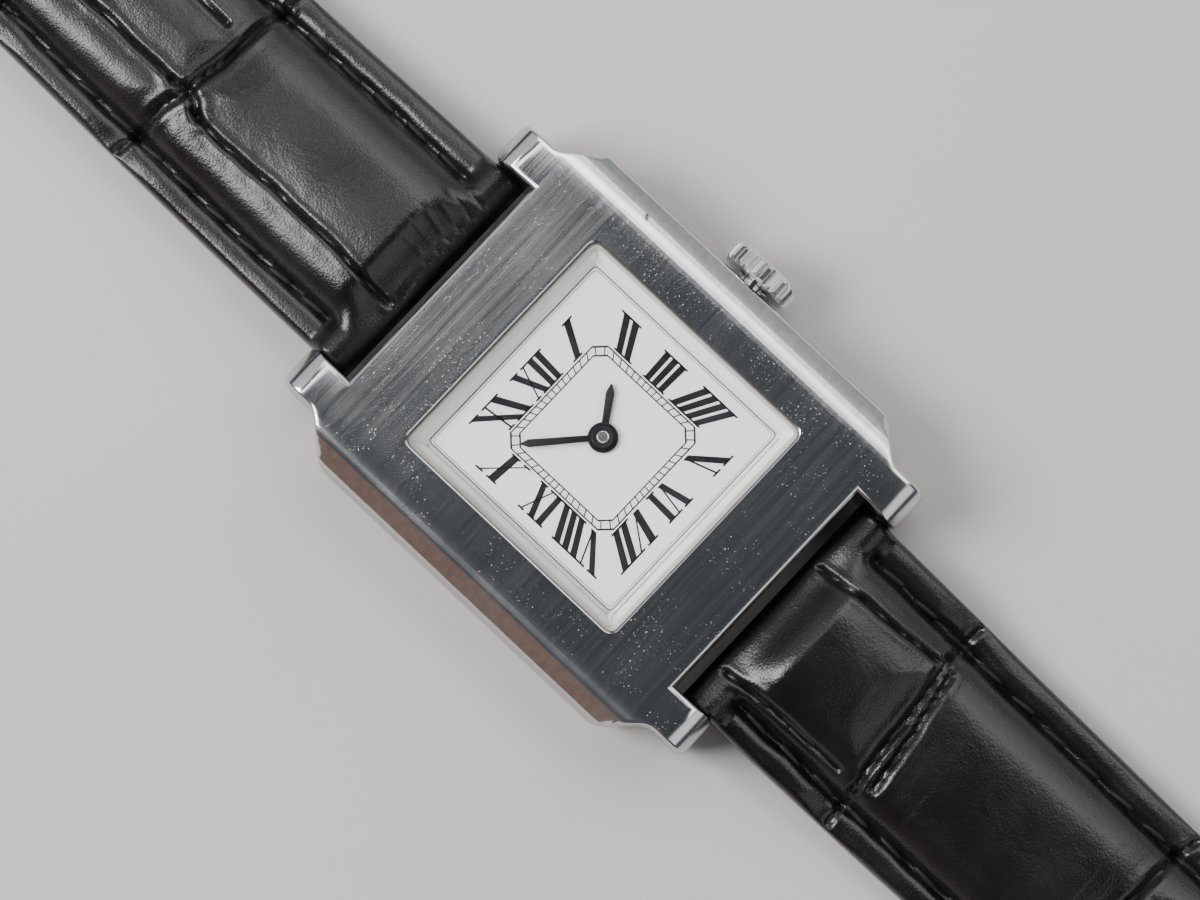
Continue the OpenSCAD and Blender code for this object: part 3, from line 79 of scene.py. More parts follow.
# ---- materials
class Shader:
    """Builds one node material."""

    def __init__(self, name):
        self.mat = bpy.data.materials.new(name)
        self.mat.use_nodes = True
        self.tree = self.mat.node_tree
        self.tree.nodes.clear()
        self.out = self.node("ShaderNodeOutputMaterial")
        self.bsdf = self.node("ShaderNodeBsdfPrincipled")
        self.link(self.bsdf.outputs[0], self.out.inputs[0])
        self.coords = self.node("ShaderNodeTexCoord")

    def node(self, kind, **settings):
        made = self.tree.nodes.new(kind)
        for key, value in settings.items():
            setattr(made, key, value)
        return made

    def link(self, a, b):
        self.tree.links.new(a, b)

    def put(self, socket, value):
        if hasattr(value, "is_linked"):
            self.link(value, socket)
        else:
            socket.default_value = value

    def space(self, stretch=(1, 1, 1), turn=(0, 0, 0)):
        mapping = self.node("ShaderNodeMapping")
        mapping.inputs["Scale"].default_value = stretch
        mapping.inputs["Rotation"].default_value = turn
        self.link(self.coords.outputs["Object"], mapping.inputs["Vector"])
        return mapping.outputs[0]

    def noise(self, scale, detail=3.0, rough=0.55, stretch=(1, 1, 1), turn=(0, 0, 0), distortion=0.0):
        made = self.node("ShaderNodeTexNoise")
        made.inputs["Scale"].default_value = scale
        made.inputs["Detail"].default_value = detail
        made.inputs["Roughness"].default_value = rough
        made.inputs["Distortion"].default_value = distortion
        self.link(self.space(stretch, turn), made.inputs["Vector"])
        return made.outputs[0]

    def cells(self, scale):
        made = self.node("ShaderNodeTexVoronoi", feature="SMOOTH_F1")
        made.inputs["Scale"].default_value = scale
        self.link(self.space(), made.inputs["Vector"])
        return made.outputs["Distance"]

    def range(self, value, low, high, to_low=0.0, to_high=1.0):
        made = self.node("ShaderNodeMapRange")
        self.put(made.inputs["Value"], value)
        for key, number in (("From Min", low), ("From Max", high), ("To Min", to_low), ("To Max", to_high)):
            made.inputs[key].default_value = number
        return made.outputs[0]

    def math(self, operation, a, b):
        made = self.node("ShaderNodeMath", operation=operation)
        self.put(made.inputs[0], a)
        self.put(made.inputs[1], b)
        return made.outputs[0]

    def add(self, a, b):
        return self.math("ADD", a, b)

    def times(self, a, b):
        return self.math("MULTIPLY", a, b)

    def blend(self, factor, a, b):
        """The number a where the factor is 0, b where it is 1."""
        return self.add(a, self.times(factor, self.math("SUBTRACT", b, a)))

    def mix(self, factor, a, b):
        made = self.node("ShaderNodeMix", data_type="RGBA")
        self.put(made.inputs[0], factor)
        self.put(made.inputs[6], a if hasattr(a, "is_linked") else (*a, 1.0))
        self.put(made.inputs[7], b if hasattr(b, "is_linked") else (*b, 1.0))
        return made.outputs[2]

    def bump(self, height, distance, strength, below=None):
        made = self.node("ShaderNodeBump")
        made.inputs["Strength"].default_value = strength
        made.inputs["Distance"].default_value = distance
        self.link(height, made.inputs["Height"])
        if below is not None:
            self.link(below, made.inputs["Normal"])
        return made.outputs[0]

    def set(self, **values):
        for key, value in values.items():
            socket = self.bsdf.inputs[key.replace("_", " ")]
            if isinstance(value, tuple) and len(value) == 3:
                value = (*value, 1.0)
            self.put(socket, value)
        return self


def metal(name, colour, rough, grain=(1, 1, 1), grain_scale=3000, grain_depth=2e-6, scratches=0.08):
    """Metal with a grain, faint smudges, scratches and colour that varies a little."""
    worn = tuple(c * 0.82 for c in colour)
    s = Shader(name)
    smudge = s.noise(220, detail=4)
    streak = s.noise(grain_scale, detail=4, stretch=grain)
    hairs = s.noise(900, detail=2, stretch=(0.08, 2.2, 1), turn=(0.3, 0.2, 0.7), distortion=0.6)
    level = s.range(smudge, 0.3, 0.75, rough * 0.8, rough * 1.35)
    level = s.add(level, s.times(s.range(streak, 0.35, 0.7), rough * 0.35))
    level = s.add(level, s.times(s.range(hairs, 0.68, 0.72), scratches))
    s.set(Base_Color=s.mix(s.range(smudge, 0.35, 0.8), colour, worn), Metallic=1.0, Roughness=level,
          Normal=s.bump(streak, grain_depth, 0.5))
    return s.mat


def plastic(name, colour, shade, rough, bump_scale, bump_depth, specular=0.5):
    """Plain moulded or coated surface with mottling and a fine texture."""
    s = Shader(name)
    patch = s.noise(260, detail=5)
    s.set(Base_Color=s.mix(s.range(patch, 0.35, 0.7), colour, shade),
          Roughness=s.range(patch, 0.3, 0.7, rough * 0.85, rough * 1.15), Specular_IOR_Level=specular,
          Normal=s.bump(s.noise(bump_scale, detail=4), bump_depth, 0.5))
    return s.mat


def case_steel():
    """Top face brushed along X with dust and fine wear, flanks drawn along Y and painted darker as shade,
    bevels polished.
    """
    # The flank colour is painted shade: darker steel than the top, standing in for the darker surroundings the
    # flanks reflect.
    clean, worn, painted_shade_flank = (0.65, 0.655, 0.67), (0.55, 0.56, 0.585), (0.4, 0.4, 0.41)
    dust_tint, pit_tint, nick_at = (0.72, 0.69, 0.56), (0.06, 0.06, 0.03), (0.01297, 0.00808, 0.0071)
    s = Shader("case_steel")
    facing = s.node("ShaderNodeSeparateXYZ")
    s.link(s.coords.outputs["Normal"], facing.inputs[0])
    top = s.range(facing.outputs[2], 0.975, 0.998)
    flank = s.range(facing.outputs[2], 0.15, 0.35, 1.0, 0.0)
    smudge = s.noise(130, detail=5, rough=0.6)
    streak = s.noise(4200, detail=3, rough=0.6, stretch=(0.012, 1.0, 1.0))
    coarse = s.noise(1900, detail=4, rough=0.65, stretch=(0.008, 1.0, 1.0))
    drawn = s.noise(3000, detail=3, rough=0.6, stretch=(1.0, 0.012, 1.0))
    where = s.range(s.noise(300, detail=4, rough=0.7), 0.46, 0.62)
    dust = s.range(s.noise(7000, detail=3, rough=0.6), 0.658, 0.698)
    dust = s.times(s.times(dust, where), top)

    brushed = s.add(s.range(smudge, 0.3, 0.7, 0.1, 0.13), s.range(streak, 0.38, 0.64, 0.0, 0.03))
    rough = s.range(smudge, 0.3, 0.7, 0.15, 0.22)
    rough = s.blend(flank, rough, s.range(drawn, 0.36, 0.64, 0.17, 0.27))
    rough = s.blend(top, rough, brushed)
    rough = s.add(rough, s.times(dust, 0.4))

    steel = s.mix(s.range(coarse, 0.36, 0.66), clean, worn)
    # Painted shade: the flanks take the darker steel colour instead of the top's.
    steel = s.mix(flank, steel, painted_shade_flank)
    nick = s.node("ShaderNodeVectorMath", operation="DISTANCE")
    s.link(s.coords.outputs["Object"], nick.inputs[0])
    nick.inputs[1].default_value = nick_at
    ragged = s.add(nick.outputs["Value"], s.range(s.noise(3500), 0.3, 0.7, -0.00014, 0.00014))
    pit = s.range(ragged, 0.00016, 0.0003, 1.0, 0.0)
    colour = s.mix(s.times(dust, 0.75), steel, dust_tint)
    s.set(Base_Color=s.mix(pit, colour, pit_tint), Metallic=1.0, Roughness=rough)

    waves = s.times(s.noise(1200, detail=2), s.range(flank, 0.0, 1.0, 0.06, 0.0))
    height = s.add(s.add(s.times(streak, top), waves), s.times(drawn, flank))
    lines = s.bump(s.times(coarse, top), 3e-6, 0.35, below=s.bump(dust, 6e-6, 0.5))
    s.set(Normal=s.bump(height, 2.5e-6, 0.4, below=lines))
    return s.mat


def leather(name, colour, glaze, rough, grain=6200):
    """Glazed leather: fine pebbled grain, creases and a worn sheen that varies."""
    worn = tuple(c * 1.7 + 0.001 for c in colour)
    s = Shader(name)
    fine = s.noise(grain * 1.7, detail=4, rough=0.6)
    crease = s.noise(1500, detail=4, rough=0.65, stretch=(1.0, 0.5, 1.0), distortion=1.0)
    broad = s.noise(160, detail=4)
    height = s.add(s.times(s.cells(grain), 0.8), s.times(fine, 0.7))
    height = s.add(height, s.times(crease, 0.9))
    level = s.add(s.range(broad, 0.3, 0.7, rough * 0.8, rough * 1.25), s.range(fine, 0.3, 0.7, -0.03, 0.05))
    pebbled = s.bump(height, 2.0e-5, 0.8)
    s.set(Base_Color=s.mix(s.range(broad, 0.3, 0.75), colour, worn), Roughness=level, Specular_IOR_Level=0.4,
          Coat_Weight=glaze, Coat_Roughness=0.16, Normal=pebbled, Coat_Normal=pebbled)
    return s.mat


def glass():
    """Clear glass that lets light through to the dial."""
    s = Shader("crystal_glass")
    s.set(Base_Color=(0.97, 0.985, 0.99), Roughness=s.range(s.noise(500, detail=4), 0.5, 0.8, 0.0, 0.02),
          IOR=1.5, Transmission_Weight=1.0)
    clear = s.node("ShaderNodeBsdfTransparent")
    clear.inputs[0].default_value = (0.93, 0.95, 0.95, 1)
    path = s.node("ShaderNodeLightPath")
    both = s.node("ShaderNodeMixShader")
    s.link(path.outputs["Is Shadow Ray"], both.inputs[0])
    s.link(s.bsdf.outputs[0], both.inputs[1])
    s.link(clear.outputs[0], both.inputs[2])
    s.link(both.outputs[0], s.out.inputs[0])
    return s.mat


def jewel():
    s = Shader("ruby")
    s.set(Base_Color=s.mix(s.noise(1500), (0.55, 0.01, 0.07), (0.75, 0.03, 0.12)),
          Roughness=s.range(s.noise(3000), 0.3, 0.7, 0.05, 0.12), Transmission_Weight=0.4, IOR=1.76)
    return s.mat


def dial_lacquer():
    s = Shader("dial_lacquer")
    broad = s.noise(120, detail=4)
    fine = s.noise(9000, detail=3)
    s.set(Base_Color=s.mix(s.range(broad, 0.3, 0.7), (0.67, 0.67, 0.655), (0.63, 0.63, 0.615)),
          Roughness=s.range(fine, 0.3, 0.7, 0.4, 0.5), Normal=s.bump(fine, 2e-6, 0.3))
    return s.mat


def floor_paper():
    s = Shader("pale_floor")
    patch = s.noise(9, detail=5)
    s.set(Base_Color=s.mix(s.range(patch, 0.3, 0.7), (0.54, 0.535, 0.525), (0.5, 0.495, 0.485)),
          Roughness=s.range(s.noise(40), 0.3, 0.7, 0.6, 0.75),
          Normal=s.bump(s.noise(900, detail=4), 4e-5, 0.25))
    return s.mat


# Each metal's colour and roughness, then where wanted its grain, grain scale, grain depth and scratches
METALS = {
    "back_steel": ((0.62, 0.62, 0.62), 0.26, (1, 0.05, 1), 2200, 2e-6, 0.2),
    "polished_steel": ((0.66, 0.655, 0.65), 0.1, (1, 1, 1), 3000, 1e-6, 0.12),
    "crown_steel": ((0.78, 0.78, 0.79), 0.15, (1, 1, 1), 3000, 1e-6),
    "gilt_brass": ((0.83, 0.62, 0.3), 0.2, (1, 0.1, 1)),
    "bridge_nickel": ((0.68, 0.66, 0.62), 0.22, (0.05, 1, 1), 1600, 4e-6),
    "blued_steel": ((0.07, 0.12, 0.4), 0.16),
    "spring_steel": ((0.48, 0.5, 0.54), 0.25),
}
# Each coated or moulded surface's two colours, roughness, bump scale and depth, and specular level
PLASTICS = {
    "rehaut_silver": ((0.56, 0.56, 0.54), (0.5, 0.5, 0.48), 0.3, 6000, 2e-6),
    "nylon": ((0.5, 0.5, 0.47), (0.42, 0.42, 0.4), 0.5, 3000, 1e-5),
    "rubber": ((0.02, 0.02, 0.02), (0.04, 0.04, 0.04), 0.7, 2600, 2e-5, 0.3),
    "dial_ink": ((0.006, 0.006, 0.007), (0.014, 0.014, 0.016), 0.5, 12000, 3e-6, 0.12),
    # Grey of the dial's border lines: painted shade of the groove at the rehaut's foot.
    "groove_shade_grey": ((0.09, 0.09, 0.09), (0.14, 0.14, 0.14), 0.5, 9000, 2e-6, 0.2),
    "hand_black": ((0.004, 0.004, 0.005), (0.01, 0.01, 0.011), 0.42, 7000, 5e-6, 0.2),
    "waxed_thread": ((0.006, 0.006, 0.0065), (0.014, 0.014, 0.014), 0.55, 6000, 2e-5, 0.25),
    "felt": ((0.62, 0.58, 0.5), (0.5, 0.46, 0.4), 0.9, 2500, 6e-5, 0.2),
}
M = {name: metal(name, *row) for name, row in METALS.items()}
M.update({name: plastic(name, *row) for name, row in PLASTICS.items()})
M.update(brushed_steel=case_steel(), ruby=jewel(), glass=glass(), dial_white=dial_lacquer(), padding=M["felt"],
         strap_leather=leather("strap_leather", (0.0035, 0.0035, 0.004), 0.22, 0.25),
         lining_leather=leather("lining_leather", (0.03, 0.024, 0.02), 0.0, 0.55, grain=3400))


# ---- mesh helpers
def place(name, mesh, material, body, hides=(), smooth=None):
    """Links a mesh given in mm as a piece that rides on a body."""
    mesh.transform(Matrix.Scale(MM, 4))
    obj = bpy.data.objects.new(name, mesh)
    bpy.context.scene.collection.objects.link(obj)
    mesh.materials.clear()
    mesh.materials.append(M[material])
    if smooth is not None:
        mesh.polygons.foreach_set("use_smooth", [True] * len(mesh.polygons))
        mesh.set_sharp_from_angle(angle=math.radians(smooth))
    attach(obj, body)
    if hides:
        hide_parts(*hides)
    return obj


def mesh_of(name, points, faces):
    mesh = bpy.data.meshes.new(name)
    mesh.from_pydata([tuple(p) for p in points], [], [tuple(int(i) for i in f) for f in faces])
    mesh.validate()
    return mesh


def between(m, n, start=0, wrap=0):
    """Faces between m rings of n points each, and back to the first ring if wrap is 1."""
    faces = []
    for i in range(m - 1 + wrap):
        a, b = start + i * n, start + (i + 1) % m * n
        faces += [[a + j, a + (j + 1) % n, b + (j + 1) % n, b + j] for j in range(n)]
    return faces


def loft(name, rings):
    """Closed body through rings of equal length, its ends filled."""
    m, n = len(rings), len(rings[0])
    ends = [list(range(n - 1, -1, -1)), [(m - 1) * n + k for k in range(n)]]
    return outward(mesh_of(name, [point for ring in rings for point in ring], between(m, n) + ends))


def outward(mesh):
    bm = bmesh.new()
    bm.from_mesh(mesh)
    bmesh.ops.recalc_face_normals(bm, faces=bm.faces)
    bm.to_mesh(mesh)
    bm.free()
    return mesh


def looped(name, rings):
    """Closed body through rings that come back round to the first one."""
    faces = between(len(rings), len(rings[0]), wrap=1)
    return outward(mesh_of(name, [point for ring in rings for point in ring], faces))


def prism(name, outline, low, high, axis="z"):
    """Outline of (a, b) points drawn out from low to high: (x, y) along z, or (y, z) along x."""
    return loft(name, [[(a, b, c) if axis == "z" else (c, a, b) for a, b in outline] for c in (low, high)])


def oblong(half_w, low, high):
    return [(-half_w, low), (half_w, low), (half_w, high), (-half_w, high)]


def round_rect(w, l, r, steps=6):
    points = []
    for sx, sy, start in ((1, 1, 0), (-1, 1, 90), (-1, -1, 180), (1, -1, 270)):
        for k in range(steps + 1):
            t = math.radians(start + 90 * k / steps)
            points.append((sx * (w / 2 - r) + r * math.cos(t), sy * (l / 2 - r) + r * math.sin(t)))
    return points


def ring_of(r, count=48):
    turns = [2 * math.pi * k / count for k in range(count)]
    return [(r * math.cos(a), r * math.sin(a)) for a in turns]


def rod(r, y, z, low, high, count):
    """Round bar along X through (y, z)."""
    return prism("rod", [(a + y, b + z) for a, b in ring_of(r, count)], low, high, "x")


def ease_edges(obj, width, segments, angle):
    """Bevels every edge that is sharper than an angle in degrees."""
    ease = obj.modifiers.new("ease", "BEVEL")
    ease.width = width
    ease.segments = segments
    ease.limit_method = "ANGLE"
    ease.angle_limit = math.radians(angle)


def modified(mesh, cutters=(), bevel=None, segments=2, angle=28):
    """The mesh with cutters taken away and its sharp edges eased, as a new mesh in mm, free of slivers."""
    scene = bpy.context.scene.collection
    body = bpy.data.objects.new("work", mesh)
    scene.objects.link(body)
    tools = []
    for cutter in cutters:
        tool = bpy.data.objects.new("tool", cutter)
        scene.objects.link(tool)
        tools.append(tool)
        cut = body.modifiers.new("cut", "BOOLEAN")
        cut.operation = "DIFFERENCE"
        cut.solver = "EXACT"
        cut.object = tool
    if bevel:
        ease_edges(body, bevel, segments, angle)
    bpy.context.view_layer.update()
    evaluated = body.evaluated_get(bpy.context.evaluated_depsgraph_get())
    result = bpy.data.meshes.new_from_object(evaluated)
    for obj in (body, *tools):
        bpy.data.objects.remove(obj)
    sliver = 2e-4
    work = bmesh.new()
    work.from_mesh(result)
    bmesh.ops.remove_doubles(work, verts=work.verts, dist=sliver)
    bmesh.ops.dissolve_degenerate(work, edges=work.edges, dist=sliver)
    work.to_mesh(result)
    work.free()
    return result


def smooth_step(t):
    t = np.clip(t, 0.0, 1.0)
    return t * t * (3 - 2 * t)


def mix(a, b, t):
    return a + (b - a) * t


def value_noise(x, y, seed):
    """Smooth noise from -1 to 1 over a table of random values that repeats."""
    size = 61
    table = np.random.default_rng(seed).random((size, size))
    xi, yi = np.floor(x).astype(int), np.floor(y).astype(int)
    fx, fy = smooth_step(x - xi), smooth_step(y - yi)
    x0, x1, y0, y1 = xi % size, (xi + 1) % size, yi % size, (yi + 1) % size
    near = mix(table[x0, y0], table[x1, y0], fx)
    return mix(near, mix(table[x0, y1], table[x1, y1], fx), fy) * 2 - 1


# ---- camera and lights
def look():
    """The photo's view: from nearly straight above, turned so that the watch lies aslant."""
    px_per_mm, distance, sensor, frame_px, roll = 14.82, 300, 36, 1200, 0.8155
    aim, forward = Vector((-0.83, -0.5, 7.3)), Vector((0.075, 0.06, -1.0)).normalized()
    back = -forward
    side = Vector((math.sin(roll), math.cos(roll), 0)).cross(back).normalized()
    up = back.cross(side)
    data = bpy.data.cameras.new("camera")
    data.sensor_width = sensor
    data.lens = px_per_mm * distance * sensor / frame_px
    camera = bpy.data.objects.new("camera", data)
    bpy.context.scene.collection.objects.link(camera)
    where = aim * MM + back * (distance * MM)
    camera.matrix_world = Matrix.Translation(where) @ Matrix((side, up, back)).transposed().to_4x4()
    bpy.context.scene.camera = camera


def lamp(name, azimuth, zenith, distance, wide, tall, radiance, colour=(1, 1, 1)):
    """Soft panel that faces the dial: azimuth from +X and angle from the zenith in degrees, sizes in m."""
    a, z = math.radians(azimuth), math.radians(zenith)
    where = Vector((math.sin(z) * math.cos(a), math.sin(z) * math.sin(a), math.cos(z))) * distance
    data = bpy.data.lights.new(name, "AREA")
    data.shape = "RECTANGLE"
    data.size = wide
    data.size_y = tall
    data.energy = radiance * math.pi * wide * tall
    data.color = colour
    light = bpy.data.objects.new(name, data)
    bpy.context.scene.collection.objects.link(light)
    light.location = where
    light.rotation_mode = "QUATERNION"
    light.rotation_quaternion = (-where).to_track_quat("-Z", "Y")


def studio():
    world = bpy.data.worlds.new("studio")
    bpy.context.scene.world = world
    world.use_nodes = True
    tree = world.node_tree
    tree.nodes.clear()
    out = tree.nodes.new("ShaderNodeOutputWorld")
    shade = tree.nodes.new("ShaderNodeBackground")
    shade.inputs["Color"].default_value = (0.165, 0.188, 0.21, 1)
    shade.inputs["Strength"].default_value = 0.36
    tree.links.new(shade.outputs[0], out.inputs[0])
    soft_white = (1.0, 0.99, 0.97)
    lamp("key", 131, 45, 0.59, 0.30, 0.30, 17, soft_white)
    lamp("sky", 79, 14.9, 0.52, 0.49, 0.065, 3.5, (1.0, 0.985, 0.96))
    lamp("ridge", 4, 42.5, 0.50, 0.60, 0.43, 1.9, soft_white)
    lamp("glint", 4, 32, 0.50, 0.60, 0.09, 2.0, soft_white)
    lamp("rim", 3, 74, 0.46, 0.60, 0.18, 0.8, (1.0, 0.98, 0.95))
    lamp("back", 87, 50, 0.52, 0.50, 0.42, 0.72, soft_white)
    lamp("fill", 266, 50, 0.53, 0.45, 0.35, 1.1, (0.99, 0.97, 0.94))
    lamp("warm", 176, 75, 0.46, 0.60, 0.20, 0.2, (1.0, 0.53, 0.32))


def floor():
    """Pale floor, a hair below the strap so that the two never share a plane."""
    half, below = 4.0, 0.00002
    mesh = mesh_of("floor", [(a, b, 0) for a, b in oblong(half, -half, half)], [(0, 1, 2, 3)])
    obj = bpy.data.objects.new("floor", mesh)
    bpy.context.scene.collection.objects.link(obj)
    mesh.materials.append(floor_paper())
    obj.location.z = -below


# ---- case
def plan_half_width(y):
    """Half width of the case outline at y: lugs, curved shoulders, flanks."""
    lug_x = LUG_GAP / 2 + LUG_W
    t = np.clip((CASE_L / 2 + 1 - abs(y)) / SHOULDER_L, 0, 1)
    return lug_x + (CASE_W / 2 - lug_x) * (1 - math.cos(math.pi * t)) / 2


# Right half of the case section, as (height, half width): flank, polished bevel, roll into the brushed top
CASE_PROFILE = [
    (BACK_T, CASE_W / 2 - 2 * LEAN), (1.6, CASE_W / 2 - 1.35 * LEAN), (2.4, CASE_W / 2 - 0.4 * LEAN),
    (STEM_Z, CASE_W / 2), (4.2, CASE_W / 2 - 0.1 * LEAN), (5.2, CASE_W / 2 - 0.45 * LEAN),
    (5.88, CASE_W / 2 - 0.85 * LEAN), (6.0, CASE_W / 2 - LEAN), (6.1, CASE_W / 2 - 1.3 * LEAN), (6.5, 13.7),
    (6.85, 13.27), (6.97, 13.1), (7.06, 12.92), (7.13, 12.72), (7.18, 12.5), (7.22, 12.25), (7.25, 12.0),
    (7.275, 11.7), (7.29, 11.35), (CASE_H, 10.9),
]


def flank_half_width(z):
    return float(np.interp(z, [p[0] for p in CASE_PROFILE], [p[1] for p in CASE_PROFILE]))


def soft_min(a, b, k=0.25):
    h = max(k - abs(a - b), 0) / k
    return min(a, b) - h * h * k / 4


def lip_levels(bottom, lip, angles, rise, spread):
    """(height, outset) pairs of a straight opening that ends in a rounded lip at the top face."""
    turns = [math.radians(a) for a in angles]
    rounded = [(CASE_H - lip * (1 - math.sin(t)), lip * (1 - math.cos(t))) for t in turns]
    return [(bottom, 0.0), *rounded, (CASE_H + rise, lip + spread)]


def gap_cutter(sign):
    """Room for a strap end: straight below, with a rounded lip along its upper edges and open lug tips."""
    rings = []
    tip = LUG_SPAN / 2
    for z, out in lip_levels(0.0, 0.42, (0.0, 15, 30, 45, 60, 75, 86), 0.4, 0.4):
        w, y = LUG_GAP / 2 + out, CASE_L / 2 - out * 0.8
        right = [(w, y), (w, tip - 0.45), (w + 0.08, tip - 0.2), (w + 0.3, tip), (w + 0.6, tip + 0.3),
                 (w + 0.6, 2 * tip)]
        outline = right + [(-a, b) for a, b in reversed(right)]
        rings.append([(a, sign * b, z) for a, b in outline])
    return loft("gap", rings)


def opening_cutter():
    """The crystal's opening, with a small rounded lip along its upper edge."""
    rings = []
    for z, out in lip_levels(5.0, 0.2, (0, 20, 40, 60, 80), 0.3, 0.25):
        outline = round_rect(OPENING_W + 2 * out, OPENING_L + 2 * out, 0.6 + out)
        rings.append([(a, b, z) for a, b in outline])
    return loft("opening", rings)


def case_shell():
    """The case in one piece: flanks, bevels, top, curved shoulders and lugs that slope down at their tips."""
    span, edge_r, corner_r = LUG_SPAN / 2, 0.45, 0.55
    tip_drop, belly_start, belly_rise = 1.9, 16.1, 2.0
    rolled = {CASE_H - edge_r * (1 - math.sin(math.radians(a))) for a in range(0, 90, 9)}
    levels = sorted({z for z, _ in CASE_PROFILE} | rolled)
    shoulder = [12.1 + 4.0 * k / 20 for k in range(21)]
    nose = [17.2 + 1.4 * math.sin(math.pi / 2 * k / 12) for k in range(13)]
    along = [0, 4, 8, 11, 11.7] + shoulder + [16.4, 16.7, 16.85, 17.0] + nose
    ys = sorted({round(s * y, 3) for s in (-1, 1) for y in along})
    rings = []
    for y in ys:
        tip = np.clip((abs(y) - (span - TIP_SLOPE)) / TIP_SLOPE, 0, 1)
        under_lug = np.clip((abs(y) - belly_start) / (span - belly_start), 0, 1)
        top = CASE_H - tip_drop * (1 - math.sqrt(max(0.0, 1 - tip ** 2 * 0.98)))
        low = BACK_T + belly_rise * (1 - math.sqrt(max(0.0, 1 - under_lug ** 2.5)))
        corner = max(0.0, abs(y) - (span - corner_r))
        plan = plan_half_width(y) - (corner_r - math.sqrt(max(0.0, corner_r ** 2 - corner ** 2)))
        side = []
        for z in levels:
            rise = max(0.0, z - (CASE_H - edge_r))
            roll = edge_r - math.sqrt(max(0.0, edge_r ** 2 - rise ** 2))
            lifted = mix(low, top, (z - BACK_T) / (CASE_H - BACK_T))
            side.append((soft_min(plan - roll, flank_half_width(z)), y, lifted))
        rings.append(side + [(-x, y, z) for x, y, z in reversed(side)])
    cutters = [gap_cutter(1), gap_cutter(-1),
               opening_cutter(),
               prism("cavity", round_rect(CAVITY_W, CAVITY_L, 0.6), 0, CAVITY_TOP),
               rod(TUBE_R, 0, STEM_Z, 5, 20, 48)]
    for sx in (-1, 1):
        for sy in (-1, 1):
            ends = sorted((sx * (LUG_GAP / 2 - 1), sx * (LUG_GAP / 2 + PIN_L + 0.15)))
            cutters.append(rod(PIN_R, sy * BAR_Y, BAR_Z, *ends, 32))
    mesh = modified(loft("case", rings), cutters, bevel=0.1, segments=3, angle=40)
    shell = place("case_shell", mesh, "brushed_steel", "case", ["case_body"], smooth=36)
    shell.modifiers.new("weighted", "WEIGHTED_NORMAL").keep_sharp = True


# ---- dial print
def polygon_plates(name, polygons, z, thickness):
    """Thin plates, one for each convex outline."""
    points, faces = [], []
    for outline in polygons:
        start, n = len(points), len(outline)
        points += [(x, y, z) for x, y in outline] + [(x, y, z + thickness) for x, y in outline]
        faces.append([start + n + k for k in range(n)])
        faces.append([start + k for k in range(n - 1, -1, -1)])
        faces += [(start + k, start + (k + 1) % n, start + n + (k + 1) % n, start + n + k) for k in range(n)]
    return outward(mesh_of(name, points, faces))


def numeral(word):
    """Strokes of a Roman numeral as outlines of (u, v), v from 0 at the feet to 1 at the head, u in mm."""
    thick_w, thin_w, serif, reach = 0.48, 0.12, 0.06, 0.17
    v_lean, x_lean = 0.47, 0.46
    advance = {"I": 0.68, "V": 1.5, "X": 1.55}
    u, strokes = -sum(advance[c] for c in word) / 2, []

    def bar(u0, u1, w):
        strokes.append([(u0 - w / 2, 0.0), (u0 + w / 2, 0.0), (u1 + w / 2, 1.0), (u1 - w / 2, 1.0)])

    def foot(u0, v, half):
        low, high = v - serif / 2, v + serif / 2
        strokes.append([(u0 - half, low), (u0 + half, low), (u0 + half, high), (u0 - half, high)])

    for letter in word:
        mid = u + advance[letter] / 2
        if letter == "I":
            bar(mid, mid, thick_w)
            for v in (0.0, 1.0):
                foot(mid, v, thick_w / 2 + reach)
        if letter == "V":
            bar(mid, mid - v_lean, thick_w)
            bar(mid + 0.05, mid + v_lean, thin_w)
            foot(mid - v_lean, 1.0, thick_w / 2 + reach)
            foot(mid + v_lean, 1.0, 0.3)
        if letter == "X":
            bar(mid + x_lean, mid - x_lean, thick_w)
            bar(mid - x_lean, mid + x_lean, thin_w)
            for v, s in ((0.0, 1), (1.0, -1)):
                foot(mid + s * x_lean, v, thick_w / 2 + reach * 0.8)
                foot(mid - s * x_lean, v, 0.27)
        u += advance[letter]
    return strokes


